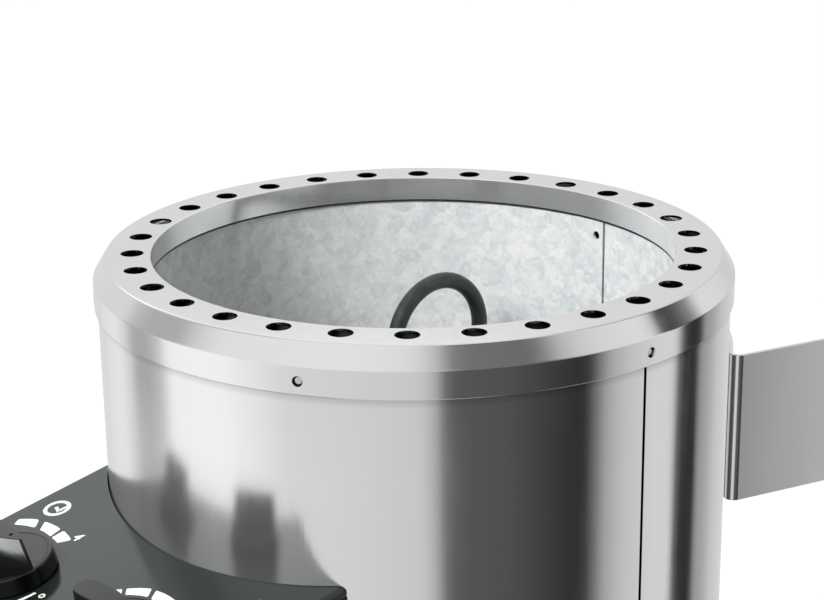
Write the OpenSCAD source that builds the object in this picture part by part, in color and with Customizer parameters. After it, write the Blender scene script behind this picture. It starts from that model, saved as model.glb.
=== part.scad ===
// Round wall-hung sauna heater with a built-in control box.
// Millimetres, +Z up, the wall is the plane y = 0 and the front faces -Y.
// The origin is the centre of the upper bracket's four wall holes.

/* [Body] */
// Diameter of the outer shell
shell_d = 338.6; // [300:1:420]
// Height from the rim's top face to the underside of the base
body_h = 480; // [440:5:620]
// Thickness of the outer shell's sheet
shell_t = 1; // [0.8:0.1:1.5]
// Width of the open seam in the outer shell
seam_gap = 1.8; // [1:0.2:3]
// Width of the air gap between the two shells
air_gap = 25; // [18:1:40]
// Thickness of the inner shell's sheet
inner_t = 0.8; // [0.6:0.1:1.5]
// Distance from the wall to the axis of the body
axis_to_wall = 213; // [200:1:260]

/* [Rim ring] */
// Thickness of the rim's sheet
rim_t = 1.2; // [1:0.1:1.6]
// Gap between the outer shell and the skirt around it
skirt_gap = 0.5; // [0.3:0.1:1]
// Height of the skirt, from the rim's top face to its lower edge
skirt_h = 24.7; // [20:0.5:40]
// Width of the sloping edge between flat and skirt
chamfer_w = 7.5; // [4:0.5:12]
// Drop of that sloping edge
chamfer_h = 9.4; // [5:0.5:14]
// Radial gap between the inner shell and the collar inside it
collar_gap = 1.2; // [0.5:0.1:3]
// Height of the collar that hangs into the chamber
collar_h = 14.1; // [8:0.5:25]
// Outward lean of the collar's lower edge
collar_lean = 1.2; // [0:0.1:2]
// Number of air holes in the rim
rim_holes = 30; // [20:1:36]
// Diameter of an air hole
rim_hole_d = 12.3; // [8:0.1:14]
// Diameter of the circle on which the air holes lie
rim_hole_circle_d = 300; // [296:1:304]
// Number of fixing holes in the skirt
skirt_holes = 6; // [4:1:8]
// Diameter of a fixing hole
skirt_hole_d = 5.3; // [3:0.1:6]

/* [Stone chamber] */
// Height of the grate's top face over the underside of the base
grate_lift = 88; // [80:1:140]
// Distance from the grate down to the element plate
grate_to_plate = 34; // [25:1:60]
// Thickness of the grate
grate_t = 3; // [2:0.5:5]
// Width of a slot in the grate
grate_slot_w = 9; // [6:0.5:12]
// Distance from one slot of the grate to the next
grate_pitch = 17; // [15:1:24]

/* [Heating elements] */
// Diameter of an element's tube
tube_d = 9.5; // [8:0.1:10]
// Distance between the two legs of an element
leg_pitch = 66; // [46:1:70]
// Depth of the arch's top below the rim's top face
arch_depth = 42; // [25:1:80]
// Length of a terminal stud below the element plate
stud_l = 14; // [8:1:18]

/* [Control box] */
// Width of the control box
box_w = 208; // [184:1:240]
// Distance from the body's axis to the front of the control box
box_reach = 281; // [262:1:320]
// Height of the panel's top face where it meets the front of the shell, below the rim's top face
panel_drop = 127.3; // [110:1:160]
// Slope of the panel
panel_tilt = 10.4; // [5:0.1:15]
// Thickness of the panel
panel_t = 2; // [1.5:0.1:3]
// Thickness of the box walls
box_t = 1.5; // [1.2:0.1:2.5]
// Height of the box floor above the underside of the base
box_lift = 14; // [8:1:40]
// Radius of the box's upright front corners
box_corner_r = 9; // [4:0.5:16]

/* [Knobs] */
// Distance of each knob's axis from the middle of the panel
knob_x = 50; // [44:0.5:60]
// Distance of the knobs' axes in front of the body's axis
knob_reach = 228.5; // [218:0.5:236]
// Diameter of the knob at the panel
knob_d = 49.6; // [40:0.2:60]
// Diameter of the knob's disc
knob_disc_d = 47.8; // [38:0.2:52]
// Height of the disc over the panel
knob_disc_h = 10; // [7:0.2:12]
// Height of the grip over the panel
knob_h = 26.4; // [22:0.2:32]
// Greatest width of the grip's top
grip_w = 12.8; // [10:0.2:18]
// Diameter of the shafts
shaft_d = 6; // [5:0.5:8]

/* [Wall brackets] */
// Thickness of the bracket's sheet
bracket_t = 2; // [1.5:0.1:3]
// Height of the upper bracket
bracket_h = 83; // [70:1:110]
// Depth of the upper bracket's top edge below the rim's top face
bracket_drop = 51; // [40:1:90]
// Height of the lower bracket
lower_bracket_h = 50; // [40:1:80]
// Height of the lower bracket over the underside of the base
lower_bracket_lift = 22; // [16:1:60]
// Splay of each arm from square to the wall
arm_splay = 14.7; // [0:0.1:20]
// Angle from the side of the body to the end of the bracket's band
band_end_a = 37; // [30:0.5:45]
// Inner radius of the sheet's bends
bend_r = 3; // [2:0.5:5]
// Length of a wall flange
flange_l = 36; // [28:1:50]
// Diameter of a wall hole
wall_hole_d = 7; // [5:0.5:9]
// Height between the upper bracket's wall holes
wall_hole_rise = 50; // [40:1:60]
// Height between the lower bracket's wall holes
lower_hole_rise = 26; // [20:1:30]

/* [Hidden] */

$fn = 96;

// Overrun of a cut past the face that it opens
over = 1;
// Overlap of two stretches of one bent sheet
weld = 0.05;
// The same overlap as an angle
weld_a = 0.02;
// Play between curved faces that seat on each other
seat = 0.1;
// Radial play of a turning or sliding shaft
run_play = 0.05;
// Angle of the front, measured from the right side
front_a = -90;
// Angle of the back
back_a = 90;
// Distance of a wedge's corners as a share of its outer radius
wedge_share = 2;

// Radii of the shells
shell_r = shell_d/2;
shell_in_r = shell_r - shell_t;
inner_out_r = shell_in_r - air_gap;
inner_r = inner_out_r - inner_t;

// Rim ring
skirt_r = shell_r + skirt_gap + rim_t;
collar_r = inner_r - collar_gap - rim_t;
rim_flat_r = skirt_r - chamfer_w;
rim_bend_r = 1.6;
skirt_hole_drop = 18;
skirt_hole_a = 0.7;
shell_top_drop = chamfer_h + rim_bend_r + rim_t/2;
// Holes of the shell behind the skirt's holes sit a little lower
shell_hole_drop = 20;
shell_hole_d = 4.6;

// Heights, down from the rim's top face
base_z = -body_h;
grate_z = base_z + grate_lift;
ledge_t = 1.5;
ledge_w = 13;
ledge_h = 14;
plate_t = 2;
plate_z = grate_z - grate_t - grate_to_plate;
inner_bottom_z = plate_z - plate_t - ledge_t - ledge_h;
base_t = 1.2;
base_flange_h = 12;
upper_bracket_z = -bracket_drop - bracket_h/2;
lower_bracket_z = base_z + lower_bracket_lift + lower_bracket_h/2;

// Lap seam of the inner shell and its rivets
lap_a = 3;
rivet_d = 4;
rivet_head_d = 7;
rivet_head_h = 1.2;
rivets = 5;
rivet_top_drop = 60;
rivet_low_rise = 20;
rivet_pitch = (-rivet_top_drop - grate_z - rivet_low_rise)/(rivets - 1);
seam_hole_d = 5;
seam_hole_drop = 24;
seam_hole_a = 92;

// Spacers between the shells
spacer_t = 1.2;
spacer_h = 15;
spacer_a = 8;
spacers = 6;
spacer_top_drop = 36;
spacer_low_rise = 30;
spacer_turn_a = 18;

// Elements stand a third of a turn apart at this distance from the axis
element_first_a = 9.5;
element_step_a = 120;
element_reach = 80.6;
bush_d = 15;
bush_neck_d = 13;
bush_h = 8;
bush_under = 11;
nut_w = 19;
nut_h = 4;
stud_d = 4;
grate_leg_play = 2.5;
plate_slot_w = 8;
plate_slot_l = 40;
plate_slots = 5;
plate_slot_pitch = 16;

// Base plate
vent_w = 6;
vent_pitch = 14;
vents = 13;
vent_edge = 22;
base_screws = 6;
screw_d = 4;
screw_head_d = 7.5;
screw_head_h = 2.4;
screw_l = 9;
// Rounding of a screw's head as a share of its height, and its socket's width as a share of the shank
head_round_share = 0.6;
socket_share = 0.6;
socket_depth = 1.4;
base_screw_rise = 7;
base_screw_turn_a = 30;

// Control box
panel_gap = 1.5;
// Outer radius of the panel's bent edges, and the height of its outer skirt
panel_edge_r = 3.2;
panel_skirt_h = 5;
// Seam between that skirt and the box walls
panel_seam = 0.4;
box_gap = 0.3;
box_bottom_z = base_z + box_lift;
box_floor_t = 1.5;
box_flange_w = 18;
box_sector_a = 60;
floor_flange_h = 10;
floor_play = 0.2;
wire_slot_w = 90;
wire_slot_h = 22;
wire_slot_rise = 5;
box_screw_drop = 62;
box_screw_rise = 66;
panel_screw_setbacks = [101, 19];
panel_screw_drop = 11;
panel_lip_h = 14;
panel_lip_t = 1.2;
panel_lip_play = 0.15;

// Panel frame: its level at a given reach, and its tilt
panel_slope = tan(panel_tilt);
// Length down the slope from the shell's front to where the skirt's lower edge meets the front of the box
panel_l = (box_reach - shell_r + panel_skirt_h*sin(panel_tilt))/cos(panel_tilt);
function panel_z(reach) = -panel_drop - (reach - shell_r)*panel_slope;

// Knobs and what they turn
knob_lift = 0.5;
knob_edge_r = 1;
knob_wall = 2.4;
hub_d = 13;
knob_bore_play = 0.02;
shaft_stand = 17;
shaft_flat_share = 0.25;
disc_round_a = 12;
// The grip's flanks curve along this radius and flare toward the disc
grip_side_r = 65;
grip_side_x = -8;
grip_end_x = -15.4;
grip_flare = 1.7;
grip_reach = 20.4;
grip_edge_r = 0.6;
dot_d = 2.2;
dot_depth = 0.6;
dot_reach = 11;
bush_out_d = 10;
bush_stand = 5;
lock_nut_w = 14;
lock_nut_h = 2.4;
lock_nut_room = 1;
timer_size = [46, 50, 40];
timer_gear_d = 38;
timer_gear_h = 9;
thermostat_size = [40, 46, 30];
unit_edge = 3;
unit_drop = 0.2;
panel_bush_play = 0.3;
timer_rest_a = 6;
thermostat_rest_a = 5.5;
tab_w = 6.3;
tab_t = 0.8;
tab_l = 8;
tabs = 4;
tab_pitch = 10;

// Capillary bulb of the thermostat
bulb_d = 6;
bulb_l = 78;
bulb_top_drop = 60;
bulb_a = -100;
clip_t = 0.8;
clip_w = 8;
clip_foot = 12;

// Limiter and reset button
limiter_size = [34, 34, 22];
limiter_side = 42;
limiter_setback = 45;
limiter_x = box_w/2 - limiter_side;
limiter_reach = box_reach - limiter_setback;
button_d = 7;
button_l = 16;
button_head_d = 9;
button_head_h = 2.5;
button_travel = 3;
reset_bush_d = 14;
reset_nut_h = 3;
reset_skirt = 4;

// Terminal block on its rail
rail_w = 35;
rail_t = 1.5;
rail_l = 150;
rail_rise = 60;
rail_h = 7.5;
rail_edge = 5;
terminal_w = 12;
terminal_h = 45;
terminal_depth = 40;
terminals = 6;
terminal_screw_d = 5;
terminal_hole_d = 4.2;
terminal_step = 9;
rail_foot_w = 10;
rail_foot_l = 12;

// Cable gland
gland_side = 46;
gland_setback = 45;
gland_x = gland_side - box_w/2;
gland_reach = box_reach - gland_setback;
gland_thread_d = 20;
gland_bore_d = 13;
gland_hex_w = 27;
gland_hex_h = 7;
gland_dome_h = 14;
gland_dome_d = 24;
gland_thread_l = 12;
gland_nut_w = 27;
gland_nut_h = 4;
gland_play = 0.2;

// Bracket fasteners
bracket_bolt_d = 6;
bracket_bolt_l = 14;
bracket_head_d = 11;
bracket_head_h = 3.2;
bracket_bolt_half_a = 28;
bracket_bolt_spread = 44;
rivnut_d = 9;
rivnut_flange_d = 13;
rivnut_flange_t = 1;
rivnut_l = 12;
bolt_play = 0.1;
wall_slot_edge = 18;

// The body's own frame has its axis at x = y = 0 and the rim's top face at z = 0
module placed() {
    translate([0, -axis_to_wall, -upper_bracket_z]) children();
}

// A frame on the panel's top face, z along its normal and y uphill
module on_panel(x, reach) {
    translate([x, -reach, panel_z(reach)]) rotate([panel_tilt, 0, 0]) children();
}

// A frame on the body at an angle and a height, x pointing outward
module around(a, z) {
    rotate([0, 0, a]) translate([0, 0, z]) children();
}

// Points of a round stretch
function arc_points(c, r, a0, a1, steps) =
    [for (i = [0:steps]) c + r*[cos(a0 + (a1 - a0)*i/steps), sin(a0 + (a1 - a0)*i/steps)]];

// Flat sector of a ring between two angles less than 180 degrees apart
module ring_sector(r_in, r_out, a0, a1) {
    far = r_out*wedge_share;
    mid_a = (a0 + a1)/2;
    intersection() {
        difference() {
            circle(r = r_out);
            circle(r = r_in);
        }
        polygon([[0, 0],
            far*[cos(a0), sin(a0)], far*[cos(mid_a), sin(mid_a)], far*[cos(a1), sin(a1)]]);
    }
}

// Round bar along x from the origin
module bar_x(d, l) {
    rotate([0, 90, 0]) cylinder(d = d, h = l);
}

// Hexagon measured across its flats
module hex(w, h) {
    cylinder(d = w/cos(30), h = h, $fn = 6);
}

// Rectangle with rounded corners, centred
module round_rect(w, l, r) {
    square([w - 2*r, l], center = true);
    square([w, l - 2*r], center = true);
    for (x = [-1, 1], y = [-1, 1])
        translate([x*(w/2 - r), y*(l/2 - r)]) circle(r = r);
}

// Bent sheet section of the rim, revolved about the body's axis
module rim_section() {
    outer = concat(
        [[collar_r + collar_lean, -collar_h]],
        arc_points([collar_r + rim_bend_r, -rim_bend_r], rim_bend_r, 180, 90, 4),
        arc_points([rim_flat_r, -rim_bend_r], rim_bend_r, 90, 90 - atan2(chamfer_h, chamfer_w), 3),
        arc_points([skirt_r - rim_bend_r, -chamfer_h - rim_bend_r], rim_bend_r,
            90 - atan2(chamfer_h, chamfer_w), 0, 3),
        [[skirt_r, -skirt_h]]);
    inner_bend = rim_bend_r - rim_t;
    inner = concat(
        [[skirt_r - rim_t, -skirt_h]],
        arc_points([skirt_r - rim_bend_r, -chamfer_h - rim_bend_r], inner_bend,
            0, 90 - atan2(chamfer_h, chamfer_w), 3),
        arc_points([rim_flat_r, -rim_bend_r], inner_bend, 90 - atan2(chamfer_h, chamfer_w), 90, 3),
        arc_points([collar_r + rim_bend_r, -rim_bend_r], inner_bend, 90, 180, 4),
        [[collar_r + collar_lean + rim_t, -collar_h]]);
    polygon(concat(outer, inner));
}

module rim_ring() {
    color("gainsboro") placed() difference() {
        rotate_extrude() rim_section();
        for (i = [0:rim_holes - 1])
            around(front_a + i*360/rim_holes, -rim_t - over)
                translate([rim_hole_circle_d/2, 0, 0]) cylinder(d = rim_hole_d, h = rim_t + 2*over);
        for (i = [0:skirt_holes - 1])
            around(skirt_hole_a + i*360/skirt_holes, -skirt_hole_drop)
                translate([skirt_r - rim_t - over, 0, 0]) bar_x(skirt_hole_d, rim_t + 2*over);
    }
}

module outer_shell() {
    shell_h = body_h - shell_top_drop;
    color("silver") placed() difference() {
        translate([0, 0, base_z]) cylinder(r = shell_r, h = shell_h);
        translate([0, 0, base_z - over]) cylinder(r = shell_in_r, h = shell_h + 2*over);
        // open seam on the right side
        translate([shell_in_r - over, -seam_gap/2, base_z - over])
            cube([shell_t + 2*over, seam_gap, shell_h - skirt_h + shell_top_drop + over]);
        for (i = [0:skirt_holes - 1])
            around(skirt_hole_a + i*360/skirt_holes, -shell_hole_drop)
                translate([shell_in_r - over, 0, 0]) bar_x(shell_hole_d, shell_t + 2*over);
        for (i = [0:base_screws - 1])
            around(base_screw_turn_a + i*360/base_screws, base_z + base_screw_rise)
                translate([shell_in_r - over, 0, 0]) bar_x(screw_d + 2*bolt_play, shell_t + 2*over);
        // way for the wires into the control box
        translate([-wire_slot_w/2, -shell_r - over, box_bottom_z + wire_slot_rise])
            cube([wire_slot_w, air_gap, wire_slot_h]);
        for (a = [back_a - bracket_bolt_half_a, back_a + bracket_bolt_half_a]) {
            for (dz = [-1, 1])
                around(a, upper_bracket_z + dz*bracket_bolt_spread/2)
                    translate([shell_in_r - over, 0, 0]) bar_x(rivnut_d, shell_t + 2*over);
            around(a, lower_bracket_z)
                translate([shell_in_r - over, 0, 0]) bar_x(rivnut_d, shell_t + 2*over);
        }
        box_screw_places() translate([-over, 0, 0]) bar_x(screw_d + 2*bolt_play, 2*over + 2*shell_t);
    }
}

module inner_shell() {
    top_z = -rim_t - seat;
    h = top_z - inner_bottom_z;
    lap_r = inner_r - inner_t;
    color("lightgray") placed() difference() {
        union() {
            translate([0, 0, inner_bottom_z]) difference() {
                cylinder(r = inner_out_r, h = h);
                translate([0, 0, -over]) cylinder(r = inner_r, h = h + 2*over);
            }
            // the sheet's end laps over its start at the back, below the collar
            translate([0, 0, inner_bottom_z])
                linear_extrude(height = -collar_h - collar_gap - inner_bottom_z)
                    ring_sector(lap_r, inner_r + weld, back_a - lap_a, back_a + 2*lap_a);
        }
        around(seam_hole_a, -seam_hole_drop)
            translate([lap_r - over, 0, 0]) bar_x(seam_hole_d, 2*inner_t + 2*over);
        for (i = [0:rivets - 1])
            around(back_a, -rivet_top_drop - i*rivet_pitch)
                translate([lap_r - over, 0, 0]) bar_x(rivet_d, 2*inner_t + 2*over);
    }
}

module seam_rivets() {
    color("silver") placed()
        for (i = [0:rivets - 1])
            around(back_a, -rivet_top_drop - i*rivet_pitch) {
                translate([inner_r - inner_t - seat - rivet_head_h, 0, 0])
                    bar_x(rivet_head_d, rivet_head_h);
                translate([inner_r - inner_t - seat - weld, 0, 0])
                    bar_x(rivet_d - 2*seat, 2*inner_t + 2*seat + 2*weld);
                translate([inner_out_r + seat, 0, 0]) bar_x(rivet_head_d, rivet_head_h);
            }
}

// One folded clip that keeps the shells apart
module gap_spacer() {
    r0 = inner_out_r + seat;
    r1 = shell_in_r - seat;
    rotate([0, 0, -spacer_a/2]) rotate_extrude(angle = spacer_a) {
        translate([r0, 0]) square([spacer_t, spacer_h]);
        translate([r0, 0]) square([r1 - r0, spacer_t]);
        translate([r1 - spacer_t, -spacer_h + spacer_t]) square([spacer_t, spacer_h]);
    }
}

module gap_spacers() {
    color("darkgray") placed()
        for (i = [0:spacers - 1], z = [-spacer_top_drop - spacer_h, inner_bottom_z + spacer_low_rise])
            around(spacer_turn_a + i*360/spacers, z) gap_spacer();
}

// Ledge ring of L section inside the inner shell; its shelf's top is at z = 0
module ledge_ring() {
    r = inner_r - inner_t - seat;
    rotate_extrude() {
        translate([r - ledge_w, -ledge_t]) square([ledge_w, ledge_t]);
        translate([r - ledge_t, -ledge_h]) square([ledge_t, ledge_h]);
    }
}

module support_rings() {
    color("gray") placed() {
        translate([0, 0, grate_z - grate_t]) ledge_ring();
        translate([0, 0, plate_z - plate_t]) ledge_ring();
    }
}

// Legs of the three elements as places in plan
module leg_places() {
    for (i = [0:2], s = [-1, 1]) {
        a = element_first_a + i*element_step_a;
        translate([element_reach*cos(a), element_reach*sin(a) + s*leg_pitch/2, 0]) children();
    }
}

module stone_grate() {
    r = inner_r - inner_t - 2*seat - ledge_t;
    slots = floor((r - grate_pitch)/grate_pitch);
    rib = grate_pitch - grate_slot_w;
    color("dimgray") placed() translate([0, 0, grate_z - grate_t]) difference() {
        cylinder(r = r, h = grate_t);
        for (i = [-slots:slots]) {
            half = sqrt(pow(r - rib, 2) - pow(abs(i*grate_pitch) + grate_slot_w/2, 2));
            for (s = [-1, 1])
                translate([i*grate_pitch - grate_slot_w/2, s*(half + rib/2)/2 - (half - rib/2)/2, -over])
                    cube([grate_slot_w, half - rib/2, grate_t + 2*over]);
        }
        translate([0, 0, -over]) leg_places() cylinder(d = tube_d + 2*grate_leg_play, h = grate_t + 2*over);
    }
}

module element_plate() {
    r = inner_r - inner_t - 2*seat - ledge_t;
    color("silver") placed() translate([0, 0, plate_z - plate_t]) difference() {
        cylinder(r = r, h = plate_t);
        translate([0, 0, -over]) leg_places() cylinder(d = bush_neck_d + 2*seat, h = plate_t + 2*over);
        // rows of air slots between the elements
        for (i = [-(plate_slots - 1)/2:(plate_slots - 1)/2])
            translate([i*plate_slot_pitch - plate_slot_w/2, -plate_slot_l/2, -over])
                cube([plate_slot_w, plate_slot_l, plate_t + 2*over]);
    }
}

// U-shaped tubular element, its bushings sitting on the element plate
module heating_element(a) {
    bend = leg_pitch/2;
    arch_z = -arch_depth - tube_d/2 - bend;
    leg_h = arch_z - plate_z - bush_h;
    color("darkslategray") placed() translate([element_reach*cos(a), element_reach*sin(a), 0]) {
        translate([0, 0, arch_z]) rotate([0, 0, 90]) rotate([90, 0, 0])
            rotate_extrude(angle = 180) translate([bend, 0]) circle(d = tube_d);
        for (s = [-1, 1]) translate([0, s*bend, 0]) {
            translate([0, 0, plate_z + bush_h]) cylinder(d = tube_d, h = leg_h);
            translate([0, 0, plate_z]) cylinder(d = bush_d, h = bush_h);
            translate([0, 0, plate_z - plate_t - bush_under])
                cylinder(d = bush_neck_d, h = plate_t + bush_under);
            translate([0, 0, plate_z - plate_t - bush_under - stud_l]) cylinder(d = stud_d, h = stud_l);
        }
    }
}

module heating_element_left() {
    heating_element(element_first_a + element_step_a);
}

module heating_element_right() {
    heating_element(element_first_a);
}

module heating_element_front() {
    heating_element(element_first_a + 2*element_step_a);
}

module element_nuts() {
    color("gainsboro") placed() translate([0, 0, plate_z - plate_t - nut_h]) leg_places() difference() {
        hex(nut_w, nut_h);
        translate([0, 0, -over]) cylinder(d = bush_neck_d + 2*seat, h = nut_h + 2*over);
    }
}

module base_plate() {
    r = shell_in_r - seat;
    color("silver") placed() translate([0, 0, base_z]) difference() {
        union() {
            cylinder(r = r, h = base_t);
            difference() {
                cylinder(r = r, h = base_flange_h);
                translate([0, 0, -over]) cylinder(r = r - base_t, h = base_flange_h + 2*over);
            }
        }
        for (i = [-(vents - 1)/2:(vents - 1)/2]) {
            half = sqrt(pow(r - vent_edge, 2) - pow(i*vent_pitch, 2));
            for (s = [-1, 1])
                translate([i*vent_pitch - vent_w/2, s*(half + vent_w)/2 - (half - vent_w)/2, -over])
                    cube([vent_w, half - vent_w, base_t + 2*over]);
        }
        for (i = [0:base_screws - 1])
            around(base_screw_turn_a + i*360/base_screws, base_screw_rise)
                translate([r - base_t - over, 0, 0]) bar_x(screw_d + 2*bolt_play, base_t + 2*over);
    }
}

// Pan-head screw along x, its head's seat at the origin and its shank pointing to -x
module screw(d, l, head_d, head_h) {
    edge = head_h*head_round_share;
    rotate([0, 90, 0]) difference() {
        rotate_extrude() polygon(concat(
            [[0, -l], [d/2, -l], [d/2, 0], [head_d/2, 0]],
            arc_points([head_d/2 - edge, head_h - edge], edge, 0, 90, 3),
            [[0, head_h]]));
        translate([0, 0, head_h - socket_depth]) hex(d*socket_share, head_h);
    }
}

module base_screws() {
    color("gainsboro") placed()
        for (i = [0:base_screws - 1])
            around(base_screw_turn_a + i*360/base_screws, base_z + base_screw_rise)
                translate([shell_r + seat, 0, 0]) screw(screw_d, screw_l, screw_head_d, screw_head_h);
}

// Outline of the control box in plan as far back as the body's axis, drawn in by a margin
module box_outline(margin) {
    w = box_w - 2*margin;
    l = box_reach - margin;
    r = max(box_corner_r - margin, box_t);
    translate([-w/2 + r, -l]) square([w - 2*r, l]);
    translate([-w/2, -l + r]) square([w, l - r]);
    for (x = [-1, 1]) translate([x*(w/2 - r), -l + r]) circle(r = r);
}

// Plan of the control box, its rear cut off along the shell
module box_plan(margin, rear_gap) {
    rear_y = -sqrt(pow(shell_r + rear_gap, 2) - pow(box_w/2, 2));
    difference() {
        box_outline(margin);
        circle(r = shell_r + rear_gap);
        translate([-box_w, rear_y]) square([2*box_w, shell_r]);
    }
}

// Everything below the panel plane at a depth under its top face
module under_panel(depth) {
    reach = box_reach + box_w;
    on_panel(0, shell_r) translate([-reach, -reach, -body_h - depth]) cube([2*reach, 2*reach, body_h]);
}

module control_box() {
    in_h = body_h - box_lift;
    flange_r = shell_r + box_gap;
    color([0.09, 0.09, 0.09]) placed() difference() {
        union() {
            intersection() {
                translate([0, 0, box_bottom_z]) linear_extrude(height = in_h) difference() {
                    box_plan(0, box_gap);
                    box_outline(box_t);
                }
                under_panel(panel_skirt_h + panel_seam);
            }
            // flanges that follow the shell
            intersection() {
                translate([0, 0, box_bottom_z]) linear_extrude(height = in_h) intersection() {
                    ring_sector(flange_r, flange_r + box_t, front_a - box_sector_a, front_a + box_sector_a);
                    for (s = [-1, 1])
                        translate([s*(box_w/2 - box_flange_w/2) - box_flange_w/2, -box_reach])
                            square([box_flange_w, box_reach]);
                }
                under_panel(panel_t + panel_lip_h + panel_lip_play);
            }
        }
        panel_screw_places() translate([-over - box_t, 0, 0]) bar_x(screw_d + 2*bolt_play, 2*over + 2*box_t);
        floor_screw_places() translate([-over - box_t, 0, 0]) bar_x(screw_d + 2*bolt_play, 2*over + 2*box_t);
        box_screw_places() translate([-over, 0, 0]) bar_x(screw_d + 2*bolt_play, 2*over + 2*box_t + box_gap);
    }
}

// Places of the screws that hold the box to the shell, from inside the shell
module box_screw_places() {
    a = asin((box_w/2 - box_flange_w/2)/shell_r);
    for (s = [-1, 1], z = [-panel_drop - box_screw_drop, box_bottom_z + box_screw_rise])
        around(front_a + s*a, z) translate([shell_in_r, 0, 0]) children();
}

// Places of the screws in the box's sides under the panel, x pointing outward
module panel_screw_places() {
    for (s = [0, 1], setback = panel_screw_setbacks) {
        reach = box_reach - setback;
        mirror([s, 0, 0]) translate([box_w/2, -reach, panel_z(reach) - panel_screw_drop]) children();
    }
}

// Places of the screws that hold the box floor
module floor_screw_places() {
    for (s = [0, 1], setback = panel_screw_setbacks)
        mirror([s, 0, 0])
            translate([box_w/2, setback - box_reach, box_bottom_z + floor_flange_h/2 + box_floor_t])
                children();
}

// Section across an edge of the panel: square inside, its outer top edge rounded
module panel_edge(w, margin) {
    r = panel_edge_r - margin;
    h = panel_skirt_h + margin;
    polygon(concat([[0, -h], [w, -h]], arc_points([w - r, -r], r, 0, 90, 4), [[0, 0]]));
}

// Block in the panel's frame with bent edges on three sides, drawn in by a margin
module panel_block(margin) {
    rc = box_corner_r;
    in_x = box_w/2 - rc;
    front_y = rc - panel_l;
    w = rc - margin;
    translate([0, 0, -margin]) {
        for (s = [0, 1]) mirror([s, 0, 0]) {
            translate([in_x, front_y, 0]) rotate([0, 0, -90])
                rotate_extrude(angle = 90) panel_edge(w, margin);
            translate([in_x, shell_r, 0]) rotate([90, 0, 0])
                linear_extrude(height = shell_r - front_y) panel_edge(w, margin);
        }
        translate([in_x, front_y, 0]) rotate([90, 0, 0]) rotate([0, -90, 0])
            linear_extrude(height = 2*in_x) panel_edge(w, margin);
        translate([-in_x, front_y, -panel_skirt_h - margin])
            cube([2*in_x, shell_r - front_y, panel_skirt_h + margin]);
    }
}

// Lips that drop inside the box walls at the front and on both sides, open at the corners
module panel_lips() {
    margin = box_t + panel_lip_play;
    in_x = box_w/2 - box_corner_r;
    h = panel_lip_h + weld;
    translate([0, 0, -panel_t - panel_lip_h]) {
        translate([-in_x, margin - panel_l, 0]) cube([2*in_x, panel_lip_t, h]);
        for (s = [0, 1]) mirror([s, 0, 0])
            translate([box_w/2 - margin - panel_lip_t, box_corner_r - panel_l, 0])
                cube([panel_lip_t, panel_l, h]);
    }
}

// Sloping panel with bent edges
module control_panel() {
    rear_y = -sqrt(pow(shell_r + panel_gap, 2) - pow(box_w/2, 2));
    color([0.40, 0.42, 0.40]) placed() difference() {
        on_panel(0, shell_r) {
            difference() {
                panel_block(0);
                panel_block(panel_t);
            }
            panel_lips();
        }
        translate([0, 0, base_z]) cylinder(r = shell_r + panel_gap, h = body_h);
        translate([-box_w, rear_y, base_z]) cube([2*box_w, 2*shell_r, body_h]);
        for (x = [-knob_x, knob_x])
            on_panel(x, knob_reach) translate([0, 0, -panel_t - over])
                cylinder(d = bush_out_d + 2*panel_bush_play, h = panel_t + 2*over);
        panel_screw_places() translate([-box_t - panel_lip_t - over, 0, 0])
            bar_x(screw_d, box_t + panel_lip_t + 2*over);
    }
}

module panel_screws() {
    color([0.12, 0.12, 0.12]) placed()
        panel_screw_places() translate([seat, 0, 0])
            screw(screw_d - 2*bolt_play, screw_l, screw_head_d, screw_head_h);
}

module box_floor() {
    m = box_t + floor_play;
    color([0.09, 0.09, 0.09]) placed() difference() {
        union() {
            translate([0, 0, box_bottom_z])
                linear_extrude(height = box_floor_t) box_plan(m, 2*box_gap + box_t);
            translate([0, 0, box_bottom_z])
                linear_extrude(height = floor_flange_h + box_floor_t) difference() {
                    box_plan(m, 2*box_gap + box_t);
                    box_outline(m + box_floor_t);
                }
        }
        translate([gland_x, -gland_reach, box_bottom_z - over])
            cylinder(d = gland_thread_d + 2*gland_play, h = box_floor_t + 2*over);
        translate([limiter_x, -limiter_reach, box_bottom_z - over])
            cylinder(d = reset_bush_d - reset_skirt + 2*gland_play, h = box_floor_t + 2*over);
        floor_screw_places() translate([-box_t - box_floor_t - over, 0, 0])
            bar_x(screw_d, box_t + box_floor_t + 2*over);
    }
}

module floor_screws() {
    color([0.12, 0.12, 0.12]) placed()
        floor_screw_places() translate([seat, 0, 0])
            screw(screw_d - 2*bolt_play, screw_l, screw_head_d, screw_head_h);
}

module box_screws() {
    color("gainsboro") placed()
        box_screw_places() translate([-seat, 0, 0]) mirror([1, 0, 0])
            screw(screw_d, screw_l, screw_head_d, screw_head_h);
}

// Body of revolution with a hollow flank that flares from the grip's top to the disc
module flared_post(r) {
    h = knob_h - knob_disc_h;
    hollow_r = (h*h + grip_flare*grip_flare)/(2*grip_flare);
    rotate_extrude() polygon(concat(
        [[0, knob_disc_h - knob_edge_r], [r + grip_flare, knob_disc_h - knob_edge_r]],
        arc_points([r + hollow_r, knob_h], hollow_r, 180 + asin(h/hollow_r),
            180 + asin(grip_edge_r/hollow_r), 4),
        arc_points([r - grip_edge_r, knob_h - grip_edge_r], grip_edge_r, 45, 90, 1),
        [[0, knob_h]]));
}

// Leaf-shaped grip: round at one end, pointed at the other
module knob_grip() {
    side_y = grip_side_r - grip_w/2;
    intersection() {
        translate([grip_side_x, side_y, 0]) flared_post(grip_side_r);
        translate([grip_side_x, -side_y, 0]) flared_post(grip_side_r);
        union() {
            translate([grip_end_x, 0, 0]) flared_post(grip_w/2);
            intersection() {
                flared_post(grip_reach);
                translate([grip_end_x, -knob_d, 0]) cube([knob_d, 2*knob_d, 2*knob_h]);
            }
        }
    }
}

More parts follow.
